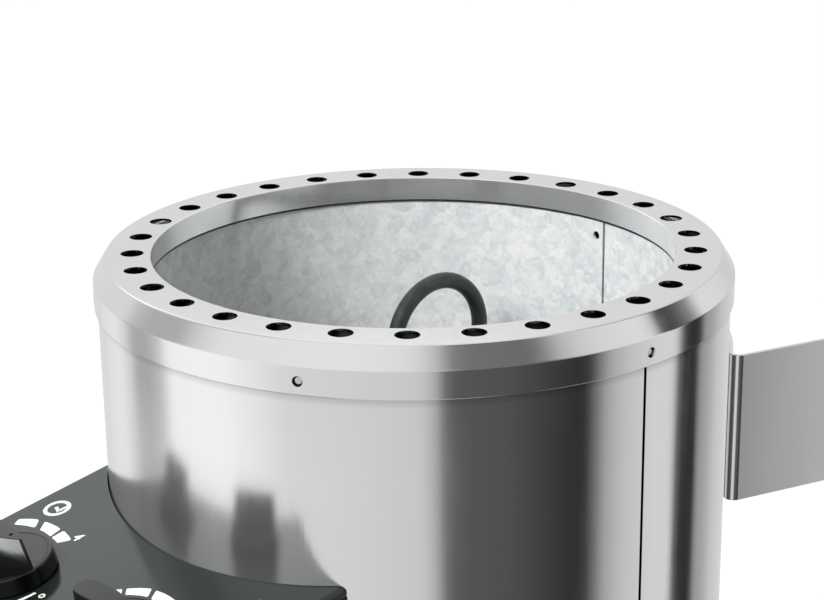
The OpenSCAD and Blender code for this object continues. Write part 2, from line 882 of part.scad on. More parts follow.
// Pointer knob in the panel's frame: slightly conical disc with the grip on it
module pointer_knob() {
    r0 = knob_d/2;
    r1 = knob_disc_d/2;
    difference() {
        union() {
            rotate_extrude() polygon(concat(
                [[0, knob_lift], [r0 - knob_edge_r/2, knob_lift], [r0, knob_lift + knob_edge_r]],
                arc_points([r1 - knob_edge_r, knob_disc_h - knob_edge_r], knob_edge_r, disc_round_a, 90, 4),
                [[0, knob_disc_h]]));
            knob_grip();
        }
        // hollow underside around the hub
        translate([0, 0, -over]) difference() {
            cylinder(r = r1 - knob_wall, h = knob_disc_h - knob_wall + over);
            cylinder(d = hub_d, h = knob_h);
        }
        translate([0, 0, -over]) cylinder(d = lock_nut_w/cos(30) + 2*lock_nut_room,
            h = lock_nut_h + knob_lift + over);
        translate([0, 0, -over]) cylinder(d = bush_out_d + 2*knob_lift, h = bush_stand + knob_lift + over);
        shaft_solid(-over, shaft_stand + seat, knob_bore_play);
        translate([dot_reach, 0, knob_h - dot_depth]) cylinder(d = dot_d, h = knob_h);
    }
}

// Round shaft with a flat, between two heights over the panel
module shaft_solid(z0, z1, play) {
    r = shaft_d/2 + play;
    flat_x = shaft_d/2 - shaft_flat_share*shaft_d + play;
    difference() {
        translate([0, 0, z0]) cylinder(r = r, h = z1 - z0);
        translate([flat_x, -r, bush_stand + knob_lift]) cube([r, 2*r, z1 + over]);
    }
}

module timer_knob() {
    color([0.05, 0.05, 0.05]) placed() on_panel(-knob_x, knob_reach)
        rotate([0, 0, timer_rest_a]) pointer_knob();
}

module thermostat_knob() {
    color([0.05, 0.05, 0.05]) placed() on_panel(knob_x, knob_reach)
        rotate([0, 0, thermostat_rest_a]) pointer_knob();
}

module timer_shaft() {
    color("silver") placed() on_panel(-knob_x, knob_reach) rotate([0, 0, timer_rest_a])
        shaft_solid(-panel_t - unit_drop - timer_gear_h, shaft_stand, 0);
}

module thermostat_shaft() {
    color("silver") placed() on_panel(knob_x, knob_reach) rotate([0, 0, thermostat_rest_a])
        shaft_solid(-panel_t - unit_drop - timer_gear_h, shaft_stand, 0);
}

// Threaded bushing with its lock nut, bored for the shaft
module unit_bushing(depth) {
    difference() {
        union() {
            translate([0, 0, -panel_t - unit_drop - weld])
                cylinder(d = bush_out_d, h = panel_t + unit_drop + weld + bush_stand);
            hex(lock_nut_w, lock_nut_h);
        }
        translate([0, 0, -depth]) cylinder(r = shaft_d/2 + run_play, h = depth + bush_stand + over);
    }
}

// Row of flat plug tabs under a unit
module tab_row(y) {
    for (i = [-(tabs - 1)/2:(tabs - 1)/2])
        translate([i*tab_pitch - tab_w/2, y - tab_t/2, -tab_l]) cube([tab_w, tab_t, tab_l + weld]);
}

module timer_unit() {
    top_z = -panel_t - unit_drop;
    size = timer_size;
    color("lightgray") placed() on_panel(-knob_x, knob_reach) {
        unit_bushing(size[2] + top_z);
        difference() {
            union() {
                translate([0, 0, top_z - timer_gear_h]) cylinder(d = timer_gear_d, h = timer_gear_h);
                translate([0, 0, top_z - size[2]]) linear_extrude(height = size[2] - timer_gear_h + weld)
                    round_rect(size[0], size[1], unit_edge);
            }
            translate([0, 0, top_z - timer_gear_h - seat])
                cylinder(r = shaft_d/2 + run_play, h = timer_gear_h + over);
        }
        for (y = [-size[1]/4, size[1]/4]) translate([0, 0, top_z - size[2]]) tab_row(y);
    }
}

module thermostat_unit() {
    top_z = -panel_t - unit_drop;
    size = thermostat_size;
    color([0.75, 0.72, 0.62]) placed() on_panel(knob_x, knob_reach) {
        unit_bushing(size[2] + top_z);
        difference() {
            union() {
                translate([0, 0, top_z - timer_gear_h]) cylinder(d = size[0] - unit_edge, h = timer_gear_h);
                translate([0, 0, top_z - size[2]]) linear_extrude(height = size[2] - timer_gear_h + weld)
                    round_rect(size[0], size[1], unit_edge);
            }
            translate([0, 0, top_z - timer_gear_h - seat])
                cylinder(r = shaft_d/2 + run_play, h = timer_gear_h + over);
        }
        for (y = [-size[1]/4, size[1]/4]) translate([0, 0, top_z - size[2]]) tab_row(y);
    }
}

// Bulb of the thermostat, held by two clips on the outside of the inner shell
module thermostat_bulb() {
    r = inner_out_r + seat + clip_t + bulb_d/2;
    color("peru") placed() around(bulb_a, -bulb_top_drop - bulb_l) {
        translate([r, 0, bulb_d/2]) cylinder(d = bulb_d, h = bulb_l - bulb_d);
        for (z = [bulb_d/2, bulb_l - bulb_d/2]) translate([r, 0, z]) sphere(d = bulb_d);
        for (z = [bulb_l/4, 3*bulb_l/4]) translate([0, 0, z - clip_w/2]) linear_extrude(height = clip_w) {
            a = clip_foot/inner_out_r*180/PI;
            ring_sector(inner_out_r + seat, inner_out_r + seat + clip_t + weld, -a, a);
            translate([r, 0]) circle(d = bulb_d + 2*clip_t);
        }
    }
}

module limiter_unit() {
    size = limiter_size;
    z0 = box_bottom_z + box_floor_t + reset_nut_h + reset_skirt;
    color([0.85, 0.83, 0.76]) placed() translate([limiter_x, -limiter_reach, z0]) {
        difference() {
            linear_extrude(height = size[2]) round_rect(size[0], size[1], unit_edge);
            translate([0, 0, -over]) cylinder(r = button_d/2 + run_play, h = over + button_l);
        }
        translate([0, 0, size[2]]) mirror([0, 0, 1]) tab_row(0);
    }
}

module reset_button() {
    z0 = box_bottom_z - reset_nut_h - button_travel - button_head_h;
    color("firebrick") placed() translate([limiter_x, -limiter_reach, z0]) {
        cylinder(d = button_head_d, h = button_head_h);
        cylinder(d = button_d, h = button_head_h + button_travel + reset_nut_h + box_floor_t
            + reset_nut_h + reset_skirt + button_l/2);
    }
}

// Threaded bushing that guides the reset button through the box floor
module reset_bushing() {
    thread_d = reset_bush_d - reset_skirt;
    h = reset_nut_h + box_floor_t + reset_nut_h + reset_skirt;
    color([0.15, 0.15, 0.15]) placed() translate([limiter_x, -limiter_reach, box_bottom_z]) difference() {
        union() {
            translate([0, 0, -reset_nut_h]) cylinder(d = reset_bush_d + reset_skirt, h = reset_nut_h);
            translate([0, 0, -reset_nut_h]) cylinder(d = thread_d, h = h);
            translate([0, 0, box_floor_t]) hex(reset_bush_d, reset_nut_h);
        }
        translate([0, 0, -reset_nut_h - over]) cylinder(r = button_d/2 + run_play, h = h + 2*over);
    }
}

// Hat-section rail that stands on two feet on the box floor
module mounting_rail() {
    y0 = -shell_r - air_gap;
    z0 = box_bottom_z + box_floor_t;
    top = rail_rise + rail_w;
    color("gainsboro") placed() translate([0, y0, z0]) {
        translate([-rail_l/2, -rail_t, rail_rise]) cube([rail_l, rail_t, rail_w]);
        for (z = [rail_rise, top - rail_t])
            translate([-rail_l/2, -rail_h, z]) cube([rail_l, rail_h, rail_t]);
        translate([-rail_l/2, -rail_h, top - rail_t]) cube([rail_l, rail_t, rail_edge]);
        translate([-rail_l/2, -rail_h, rail_rise - rail_edge + rail_t]) cube([rail_l, rail_t, rail_edge]);
        for (x = [-rail_l/2, rail_l/2 - rail_foot_w]) {
            translate([x, -rail_t, 0]) cube([rail_foot_w, rail_t, rail_rise + weld]);
            translate([x, -rail_foot_l, 0]) cube([rail_foot_w, rail_foot_l, rail_t]);
        }
    }
}

module terminal_block() {
    y0 = -shell_r - air_gap - rail_h;
    z0 = box_bottom_z + box_floor_t + rail_rise + rail_w/2 - terminal_h/2;
    color("lightgray") placed() translate([-terminals*terminal_w/2, y0 - terminal_depth, z0]) difference() {
        rotate([90, 0, 90]) linear_extrude(height = terminals*terminal_w)
            polygon([[terminal_step, 0], [terminal_depth, 0], [terminal_depth, terminal_h],
                [terminal_step, terminal_h], [0, terminal_h - terminal_step], [0, terminal_step]]);
        for (i = [0:terminals - 1], s = [0, 1])
            translate([(i + 1/2)*terminal_w, 0, s*terminal_h]) mirror([0, 0, s]) {
                translate([0, terminal_depth/2, -over])
                    cylinder(d = terminal_hole_d, h = terminal_step + over);
                translate([0, -over, terminal_step + terminal_screw_d])
                    rotate([-90, 0, 0]) cylinder(d = terminal_screw_d, h = terminal_step + over);
            }
        for (i = [1:terminals - 1])
            translate([i*terminal_w - tab_t/2, -over, -over])
                cube([tab_t, terminal_depth/4 + over, terminal_h + 2*over]);
    }
}

// Cable gland, bored through for the supply cable
module cable_gland() {
    color([0.2, 0.2, 0.2]) placed() translate([gland_x, -gland_reach, box_bottom_z]) difference() {
        union() {
            cylinder(d = gland_thread_d, h = gland_thread_l);
            translate([0, 0, -gland_hex_h]) hex(gland_hex_w, gland_hex_h);
            translate([0, 0, -gland_hex_h - gland_dome_h]) rotate_extrude()
                polygon([[0, 0], [gland_dome_d/2 - unit_edge, 0], [gland_dome_d/2, unit_edge],
                    [gland_dome_d/2, gland_dome_h + weld], [0, gland_dome_h + weld]]);
        }
        translate([0, 0, -gland_hex_h - gland_dome_h - over])
            cylinder(d = gland_bore_d, h = gland_hex_h + gland_dome_h + gland_thread_l + 2*over);
    }
}

module gland_nut() {
    color([0.2, 0.2, 0.2]) placed()
        translate([gland_x, -gland_reach, box_bottom_z + box_floor_t]) difference() {
        hex(gland_nut_w, gland_nut_h);
        translate([0, 0, -over]) cylinder(d = gland_thread_d + 2*seat, h = gland_nut_h + 2*over);
    }
}

// Half of a bracket in plan: band, tight bend, splayed arm, bend and wall flange
module half_bracket_plan() {
    in_r = shell_r + 2*seat;
    out_r = in_r + bracket_t;
    r0 = bend_r;
    r1 = bend_r + bracket_t;
    arm_a = 90 - arm_splay;
    c = (out_r + bend_r)*[cos(band_end_a), sin(band_end_a)];
    // the band's end runs along the shell, then turns out into the arm
    side = [sin(arm_a), -cos(arm_a)];
    dir = [cos(arm_a), sin(arm_a)];
    start = c + r0*side;
    wall_y = axis_to_wall;
    // centre of the bend at the wall, on the outer side of the arm
    c2_y = wall_y - r1;
    run = (c2_y - c[1] + (r0 + r1)*cos(arm_a))/sin(arm_a);
    c2 = c + (r0 + r1)*side + run*dir;
    ring_sector(in_r, out_r, band_end_a - weld_a, back_a + weld_a);
    translate(c) ring_sector(r0, r1, band_end_a - 180, arm_a - 90);
    translate(start) rotate([0, 0, arm_a]) translate([-weld, -bracket_t]) square([run + 2*weld, bracket_t]);
    translate(c2) ring_sector(r0, r1, 90, arm_a + 90);
    translate([c2[0] - weld, wall_y - bracket_t]) square([flange_l - r1 + weld, bracket_t]);
}

// Where the wall flange's outer end lies
function flange_hole_x() =
    let (in_r = shell_r + 2*seat, out_r = in_r + bracket_t, r0 = bend_r, r1 = bend_r + bracket_t,
        arm_a = 90 - arm_splay, c = (out_r + bend_r)*[cos(band_end_a), sin(band_end_a)],
        side = [sin(arm_a), -cos(arm_a)], dir = [cos(arm_a), sin(arm_a)],
        run = (axis_to_wall - r1 - c[1] + (r0 + r1)*cos(arm_a))/sin(arm_a),
        c2 = c + (r0 + r1)*side + run*dir)
    c2[0] + flange_l - r1 - wall_slot_edge;

// Folded bracket centred on a height, with its wall holes and screw holes
module bracket(h, hole_rise, bolt_spread) {
    difference() {
        translate([0, 0, -h/2]) linear_extrude(height = h) {
            half_bracket_plan();
            mirror([1, 0]) half_bracket_plan();
        }
        for (x = [-1, 1], z = [-1, 1])
            translate([x*flange_hole_x(), axis_to_wall - bracket_t - over, z*hole_rise/2])
                rotate([-90, 0, 0]) cylinder(d = wall_hole_d, h = bracket_t + 2*over);
        for (s = [-1, 1], z = (bolt_spread > 0 ? [-1, 1] : [0]))
            around(back_a + s*bracket_bolt_half_a, z*bolt_spread/2) translate([shell_r - over, 0, 0])
                bar_x(bracket_bolt_d + 2*bolt_play, bracket_t + 2*over + 2*seat);
    }
}

module upper_bracket() {
    color("silver") placed() translate([0, 0, upper_bracket_z])
        bracket(bracket_h, wall_hole_rise, bracket_bolt_spread);
}

module lower_bracket() {
    color("silver") placed() translate([0, 0, lower_bracket_z])
        bracket(lower_bracket_h, lower_hole_rise, 0);
}

// Places of the screws through the brackets, x pointing outward from the shell's face
module bracket_bolt_places() {
    for (a = [back_a - bracket_bolt_half_a, back_a + bracket_bolt_half_a]) {
        for (z = [-1, 1])
            around(a, upper_bracket_z + z*bracket_bolt_spread/2) translate([shell_r, 0, 0]) children();
        around(a, lower_bracket_z) translate([shell_r, 0, 0]) children();
    }
}

module bracket_screws() {
    color("gainsboro") placed() bracket_bolt_places()
        translate([3*seat + bracket_t, 0, 0])
            screw(bracket_bolt_d, bracket_bolt_l, bracket_head_d, bracket_head_h);
}

module rivet_nuts() {
    color("silver") placed() bracket_bolt_places() difference() {
        union() {
            translate([-shell_t - rivnut_l, 0, 0]) bar_x(rivnut_d - 2*seat, rivnut_l + shell_t);
            translate([-shell_t - 3*seat - 2*rivnut_flange_t, 0, 0])
                bar_x(rivnut_flange_d, 2*rivnut_flange_t);
        }
        translate([-shell_t - rivnut_l - over, 0, 0])
            bar_x(bracket_bolt_d + 2*bolt_play, rivnut_l + 2*over + shell_t);
    }
}

rim_ring();
outer_shell();
inner_shell();
seam_rivets();
gap_spacers();
support_rings();
stone_grate();
element_plate();
heating_element_left();
heating_element_right();
heating_element_front();
element_nuts();
base_plate();
base_screws();
control_box();
control_panel();
panel_screws();
box_floor();
floor_screws();
box_screws();
timer_knob();
timer_shaft();
timer_unit();
thermostat_knob();
thermostat_shaft();
thermostat_unit();
thermostat_bulb();
limiter_unit();
reset_button();
reset_bushing();
terminal_block();
mounting_rail();
cable_gland();
gland_nut();
upper_bracket();
lower_bracket();
bracket_screws();
rivet_nuts();
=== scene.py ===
import math

import bmesh
import bpy
from mathutils import Matrix, Vector


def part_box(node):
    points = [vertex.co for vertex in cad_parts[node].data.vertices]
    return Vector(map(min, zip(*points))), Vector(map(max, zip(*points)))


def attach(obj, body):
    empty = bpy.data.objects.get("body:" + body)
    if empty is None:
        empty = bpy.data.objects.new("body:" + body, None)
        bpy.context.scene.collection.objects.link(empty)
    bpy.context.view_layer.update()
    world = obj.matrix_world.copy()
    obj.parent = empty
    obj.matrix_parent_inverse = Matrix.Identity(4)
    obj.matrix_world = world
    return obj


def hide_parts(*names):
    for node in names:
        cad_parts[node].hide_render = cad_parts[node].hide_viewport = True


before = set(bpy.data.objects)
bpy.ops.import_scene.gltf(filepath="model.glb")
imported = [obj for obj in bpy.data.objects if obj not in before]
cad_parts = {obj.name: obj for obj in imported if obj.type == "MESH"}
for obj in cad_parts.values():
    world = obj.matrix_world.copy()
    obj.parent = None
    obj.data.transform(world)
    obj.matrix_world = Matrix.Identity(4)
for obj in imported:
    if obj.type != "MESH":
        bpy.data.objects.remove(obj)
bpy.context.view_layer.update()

# ---------------------------------------------------------------- sizes, millimetres
MM = 0.001
RIM_LO, RIM_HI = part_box("rim_ring")
AXIS = Vector(((RIM_LO.x + RIM_HI.x) / 2, (RIM_LO.y + RIM_HI.y) / 2, RIM_HI.z))

SHELL_R = 169.3
SHELL_T = 1.0
SHELL_TOP = -11.6
BASE_Z = -480.0
SEAM_GAP = 1.8
SHELL_HOLE_R = 2.9
BASE_SCREWS = 6
BASE_SCREW_A = 30.0
BASE_SCREW_RISE = 7.0
BASE_SCREW_HOLE_R = 2.1
NUT_HOLE_R = 4.5
# Radii from which and to which a cutter goes through the shell
SHELL_CUT = (166.0, 172.0)
# Corners of the opening for the wires into the control box
WIRE_PORT = ((-45.0, -172.0, -461.0), (45.0, -145.0, -439.0))

LINER_OUT_R = 143.3
LINER_R = 142.5
LINER_TOP = -1.3
LINER_LOW = -446.5
LINER_CUT = (138.0, 146.0)
LAP_R = 141.7
LAP_TOP = -15.3
LAP_SWEEP = 9.0
SEAM_A = 88.2
SLIT_A = 0.42
SEAM_HOLE_A = 90.3
SEAM_HOLE_Z = -24.0
SEAM_HOLE_R = 2.5
# Near-black ring below the collar's lower edge, a painted shadow line there: its radii and heights
SHADOW_RING_R = (LINER_R - 1.1, LINER_R - 0.1)
SHADOW_RING_Z = (-15.1, -13.2)
WELDS = 5
WELD_R = 1.9
RIVET_HEAD_R = 3.5

RIM_T = 1.2
RIM_BEND_R = 1.6
SKIRT_R = 171.0
SKIRT_H = 24.7
CHAMFER_W = 7.5
CHAMFER_H = 9.4
FLAT_R = SKIRT_R - CHAMFER_W
COLLAR_R = 140.1
COLLAR_BEND_R = 0.6
COLLAR_H = 14.1
COLLAR_LEAN = 1.2
RIM_HOLES = 30
RIM_HOLE_R = 6.15
RIM_HOLE_CIRCLE_R = 150.0
RIM_CUT_Z = (1.0, -3.0)
SKIRT_HOLES = 6
SKIRT_HOLE_A = 0.7
SKIRT_HOLE_R = 2.65
SKIRT_HOLE_Z = -18.0
SKIRT_CUT = (168.0, 173.0)
# Radii of a stud and of its black washer, whose dark is a painted shade for the gap seen in the hole, each
# with its distance from the body's axis
STUD = [(1.7, 164.0), (1.95, 164.3), (1.95, 169.3), (1.7, 169.6)]
SHADE_WASHER = [(4.3, 166.9), (4.5, 167.1), (4.5, 167.9), (4.3, 168.1)]

PANEL_TILT = math.radians(10.4)
PANEL_Z = -127.3
PANEL_W = 208.0
PANEL_L = 114.48
PANEL_T = 2.0
PANEL_EDGE_R = 3.2
PANEL_SKIRT = 5.0
PANEL_CORNER_R = 9.0
PANEL_REAR_R = 170.1
PANEL_BACK_V = 60.0
SHAFT_HOLE_R = 5.3
SHAFT_CUT = (-6.0, 3.0)
# Half width, back and lowest point of the cutters that end the panel at the shell
TRIM_HALF_W = 150.0
TRIM_BACK = 20.0
TRIM_LOW = -250.0

KNOB_X = 50.0
KNOB_REACH = 228.5
KNOB_V = (SHELL_R - KNOB_REACH) / math.cos(PANEL_TILT)
KNOB_R = 24.8
DISC_R = 23.9
DISC_H = 10.0
KNOB_H = 26.4
KNOB_LIFT = 0.5
# Insets from the disc's edge and depths of the fine groove on its top
DISC_GROOVE = [(1.7, 0.0), (1.9, 0.2), (2.3, 0.2), (2.5, 0.0)]
DISC_EYE_R = 3.0
HOLLOW_R = 21.5
HOLLOW_TOP = 7.6
BOSS_R = 6.5
# Radius, top and steps of the bores for the panel's collar, the bushing and the shaft
KNOB_BORES = [(9.1, 3.9, 64), (5.5, 5.5, 64), (3.05, 17.2, 48)]
GRIP_HALF_W = 6.4
GRIP_SIDE_R = 65.0
GRIP_SIDE_X = -8.0
GRIP_END_X = -15.4
GRIP_REACH = 20.4
GRIP_MID_X = -4.0
GRIP_CROWD = 0.85
GRIP_FLARE = 1.7
GRIP_EDGE_R = 0.35
DOT_R = 1.1
DOT_X = 11.0
TIMER_REST = math.radians(6.0)
THERMOSTAT_REST = math.radians(5.5)

TUBE_R = 4.75
LEG_HALF = 33.0
ARCH_DEPTH = 42.0
PLATE_Z = -429.0
PLATE_T = 2.0
ELEMENT_REACH = 80.6
ELEMENT_A = {"right": 9.5, "left": 129.5, "front": 249.5}
FOOT_RISE = 6.0
# Depth of a leg's end below the plate, then radii and heights of its nut over the plate,
# and of its bushing and its pin over that end
LEG_END = 11.0
LEG_NUT = [(6.9, 0.0), (7.5, 0.6), (7.5, 6.8), (6.6, 8.0), (5.3, 8.0)]
LEG_BUSHING = [(6.2, 0.0), (6.5, 0.3), (6.5, PLATE_T + LEG_END + 1)]
LEG_PIN = [(1.6, -14.0), (2.0, -13.6), (2.0, 1.0)]

BRACKET_T = 2.0
BRACKET_IN_R = 169.5
BEND_R = 3.0
BAND_END = math.radians(37.0)
ARM_A = math.radians(75.3)
WALL_Y = 213.0
FLANGE_L = 36.0
FLANGE_HOLE_IN = 18.0
WALL_HOLE_R = 3.5
WALL_CUT_Y = (205.0, 216.0)
BOLT_HALF_A = 28.0
BOLT_RISE = 22.0
BOLT_HOLE_R = 3.1
BOLT_CUT = (166.0, 175.0)
UPPER_Z = -92.5
UPPER_H = 83.0
UPPER_HOLE_RISE = 50.0
LOWER_Z = -433.0
LOWER_H = 50.0
LOWER_HOLE_RISE = 26.0


# ---------------------------------------------------------------- geometry helpers

def polar(r, a, z=0.0):
    """Point of the body's own frame at radius r and angle a in degrees"""
    return (r * math.cos(math.radians(a)), r * math.sin(math.radians(a)), z)


def on_panel(u, v, h=0.0):
    """Point in the body's frame of a place on the sloping panel, v uphill and h over its face"""
    return (u, -SHELL_R + v * math.cos(PANEL_TILT) - h * math.sin(PANEL_TILT),
            PANEL_Z + v * math.sin(PANEL_TILT) + h * math.cos(PANEL_TILT))


def arc(cx, cy, r, a0, a1, steps):
    """Points of an arc, angles in degrees"""
    return [(cx + r * math.cos(math.radians(a0 + (a1 - a0) * i / steps)),
             cy + r * math.sin(math.radians(a0 + (a1 - a0) * i / steps))) for i in range(steps + 1)]


def loft(rings, wrap=False):
    """Vertices and faces of a closed solid through rings of equally many points"""
    n = len(rings[0])
    verts = [p for ring in rings for p in ring]
    faces = []
    for i in range(len(rings) if wrap else len(rings) - 1):
        a, b = i * n, (i + 1) % len(rings) * n
        faces += [(a + j, a + (j + 1) % n, b + (j + 1) % n, b + j) for j in range(n)]
    if not wrap:
        faces += [tuple(range(n))[::-1], tuple(range(len(verts) - n, len(verts)))]
    return verts, faces


def revolved(section, steps):
    """Solid of a closed section of (r, z) points turned about the body's axis"""
    return loft([[polar(r, 360 * i / steps, z) for r, z in section] for i in range(steps)], wrap=True)


def turned(profile, steps, x=0.0, y=0.0):
    """Upright solid with the radii and heights of a profile from its foot to its top"""
    return loft([[(x + r * math.cos(math.tau * i / steps), y + r * math.sin(math.tau * i / steps), z)
                  for i in range(steps)] for r, z in profile])


def rod(start, end, r, steps=48):
    """Round bar between two points"""
    axis = Vector(end) - Vector(start)
    side = axis.orthogonal().normalized()
    other = axis.cross(side).normalized()
    ring = [(math.cos(math.tau * i / steps), math.sin(math.tau * i / steps)) for i in range(steps)]
    return loft([[Vector(p) + r * (c * side + s * other) for c, s in ring] for p in (start, end)])


def block(lo, hi):
    """Cutter with square corners"""
    ring = [(lo[0], lo[1]), (hi[0], lo[1]), (hi[0], hi[1]), (lo[0], hi[1])]
    return loft([[(x, y, z) for x, y in ring] for z in (lo[2], hi[2])])


def moved(part, move):
    """The same solid with each point put through a function"""
    return [move(*p) for p in part[0]], part[1]


def make(name, parts):
    """Object from closed solids given in the body's frame in millimetres"""
    bm = bmesh.new()
    for verts, faces in parts:
        made = [bm.verts.new(AXIS + MM * Vector(p)) for p in verts]
        for f in faces:
            bm.faces.new([made[i] for i in f])
    bmesh.ops.recalc_face_normals(bm, faces=bm.faces)
    mesh = bpy.data.meshes.new(name)
    bm.to_mesh(mesh)
    bm.free()
    obj = bpy.data.objects.new(name, mesh)
    bpy.context.scene.collection.objects.link(obj)
    return obj


def combine(obj, parts, operation="DIFFERENCE"):
    """Cuts solids out of an object, or adds them to it"""
    tool = make("tool", parts)
    mod = obj.modifiers.new("combine", "BOOLEAN")
    mod.operation = operation
    mod.solver = "EXACT"
    mod.object = tool
    bpy.context.view_layer.update()
    mesh = bpy.data.meshes.new_from_object(obj.evaluated_get(bpy.context.evaluated_depsgraph_get()))
    obj.modifiers.clear()
    old, obj.data = obj.data, mesh
    bpy.data.meshes.remove(old)
    tool_mesh = tool.data
    bpy.data.objects.remove(tool)
    bpy.data.meshes.remove(tool_mesh)
    mesh.name = obj.name


def smooth(obj, angle=30.0):
    """Smooth shading that keeps the edges sharper than an angle"""
    obj.data.polygons.foreach_set("use_smooth", [True] * len(obj.data.polygons))
    obj.data.set_sharp_from_angle(angle=math.radians(angle))
    obj.modifiers.new("normals", "WEIGHTED_NORMAL").keep_sharp = True
    return obj


def fit(obj, body, slot, finish, *nodes):
    """Gives a piece its material and its body, and hides the CAD nodes that it stands for; the slot is not
    used
    """
    obj.data.materials.clear()
    obj.data.materials.append(finish)
    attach(obj, body)
    if nodes:
        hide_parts(*nodes)


# ---------------------------------------------------------------- material helpers

def material(name, color, metallic=0.0, roughness=0.5, **sockets):
    """Principled material with its constants set on the shader's own sockets"""
    mat = bpy.data.materials.new(name)
    mat.use_nodes = True
    shader = mat.node_tree.nodes["Principled BSDF"]
    shader.inputs["Base Color"].default_value = (*color, 1)
    shader.inputs["Metallic"].default_value = metallic
    shader.inputs["Roughness"].default_value = roughness
    for key, value in sockets.items():
        shader.inputs[key.replace("_", " ")].default_value = value
    return mat


def node(mat, kind, inputs=None, **settings):
    """New shader node with its settings; inputs hold values or other nodes' outputs"""
    made = mat.node_tree.nodes.new(kind)
    for key, value in settings.items():
        setattr(made, key, value)
    for key, value in (inputs or {}).items():
        if isinstance(value, bpy.types.NodeSocket):
            mat.node_tree.links.new(value, made.inputs[key])
        else:
            made.inputs[key].default_value = value
    return made


def drive(mat, socket, output):
    """Links an output to a socket of the material's shader"""
    mat.node_tree.links.new(output, mat.node_tree.nodes["Principled BSDF"].inputs[socket])


def place(mat, scale=(1, 1, 1)):
    """Object coordinates in metres, stretched"""
    coords = node(mat, "ShaderNodeTexCoord").outputs["Object"]
    return node(mat, "ShaderNodeMapping", {"Vector": coords, "Scale": scale}).outputs["Vector"]


def noise(mat, vector, scale, detail=3.0, roughness=0.5):
    """Fractal noise between 0 and 1"""
    return node(mat, "ShaderNodeTexNoise", {"Vector": vector, "Scale": scale, "Detail": detail,
                                            "Roughness": roughness}).outputs["Fac"]


def span(mat, value, lo, hi, start=0.0, end=1.0):
    """Maps a value's range to another, clamped"""
    return node(mat, "ShaderNodeMapRange", {"Value": value, "From Min": start, "From Max": end,
                                            "To Min": lo, "To Max": hi}).outputs["Result"]


def tones(mat, value, stops):
    """Colours along a value"""
    ramp = node(mat, "ShaderNodeValToRGB", {"Fac": value})
    band = ramp.color_ramp
    while len(band.elements) < len(stops):
        band.elements.new(0.5)
    for element, (at, color) in zip(band.elements, stops):
        element.position = at
        element.color = (*color, 1)
    return ramp.outputs["Color"]


def bump(mat, height, strength, distance):
    """Links a bump to the shader's normal"""
    made = node(mat, "ShaderNodeBump", {"Height": height, "Strength": strength, "Distance": distance})
    drive(mat, "Normal", made.outputs["Normal"])


def grained(name, color, metallic, roughness, scale, spread=0.04, tint=0.06, height=0.00002,
            stretch=(1, 1, 1), **sockets):
    """Material with fine variation of its colour, roughness and surface"""
    mat = material(name, color, metallic, roughness, **sockets)
    vector = place(mat, stretch)
    fine = noise(mat, vector, scale, 6.0, 0.6)
    broad = noise(mat, vector, scale / 12, 2.0)
    low = [c * (1 - tint) for c in color]
    high = [min(1.0, c * (1 + tint)) for c in color]
    drive(mat, "Base Color", tones(mat, broad, [(0.3, low), (0.7, high)]))
    drive(mat, "Roughness", span(mat, fine, roughness - spread, roughness + spread, 0.3, 0.7))
    bump(mat, fine, 0.5, height)
    return mat


# ---------------------------------------------------------------- materials

# Where the film of handling over the panel fades out, metres, and how much it blurs
HAZE_X = (0.075, 0.12)
HAZE_Y = (-0.26, -0.22)
HAZE_Z = (0.02, 0.055)
HAZE_BLUR = 0.055
# Painted shadow line on the sheet under the rim's edge: heights where it fades, metres, and the share of
# light that it leaves
RIM_SHADE_Z = (0.0630, 0.0676)
RIM_SHADE = 0.7


def near_controls(mat):
    """Share of the light film that handling leaves on the sheet just over the panel"""
    here = node(mat, "ShaderNodeSeparateXYZ", {"Vector": place(mat)}).outputs
    low = span(mat, here["Z"], 1.0, 0.0, *HAZE_Z)
    middle = span(mat, here["X"], 1.0, 0.0, *HAZE_X)
    front = span(mat, here["Y"], 1.0, 0.0, *HAZE_Y)
    across = node(mat, "ShaderNodeMath", {0: middle, 1: front}, operation="MULTIPLY").outputs["Value"]
    return node(mat, "ShaderNodeMath", {0: low, 1: across}, operation="MULTIPLY").outputs["Value"]


def polished_steel(name, roughness, handled=0.0, metallic=1.0):
    """Bright stainless sheet with faint rolling streaks and smears; with a handling film it also gets a
    painted shadow line under the rim's edge
    """
    mat = material(name, (0.86, 0.86, 0.86), metallic, roughness)
    streaks = noise(mat, place(mat, (1, 1, 0.04)), 260.0, 4.0, 0.6)
    smears = noise(mat, place(mat), 9.0, 4.0, 0.55)
    rough = node(mat, "ShaderNodeMath", {0: span(mat, streaks, 0.0, 0.035, 0.35, 0.65),
                                         1: span(mat, smears, roughness - 0.02, roughness + 0.03, 0.35, 0.7)},
                 operation="ADD").outputs["Value"]
    if handled:
        film = near_controls(mat)
        drive(mat, "Metallic", span(mat, film, 1.0, 1.0 - handled))
        rough = node(mat, "ShaderNodeMath", {0: film, 1: HAZE_BLUR, 2: rough},
                     operation="MULTIPLY_ADD").outputs["Value"]
    drive(mat, "Roughness", rough)
    color = tones(mat, smears, [(0.3, (0.84, 0.845, 0.85)), (0.7, (0.875, 0.87, 0.865))])
    if handled:
        height = node(mat, "ShaderNodeSeparateXYZ", {"Vector": place(mat)}).outputs["Z"]
        # Painted shadow: the sheet's colour darkens just under the rim's edge
        painted_shade = span(mat, height, 1.0, RIM_SHADE, *RIM_SHADE_Z)
        color = node(mat, "ShaderNodeVectorMath", {0: color, "Scale": painted_shade},
                     operation="SCALE").outputs["Vector"]
    drive(mat, "Base Color", color)
    bump(mat, streaks, 0.12, 0.00001)
    return mat


def bent_space(mat, vector, scale, reach):
    """Coordinates shaken by noise, so that a cell pattern's edges run unevenly"""
    shake = node(mat, "ShaderNodeTexNoise", {"Vector": vector, "Scale": scale, "Detail": 4.0,
                                             "Roughness": 0.6}).outputs["Color"]
    return node(mat, "ShaderNodeVectorMath", {0: shake, 1: (reach, reach, reach), 2: vector},
                operation="MULTIPLY_ADD").outputs["Vector"]


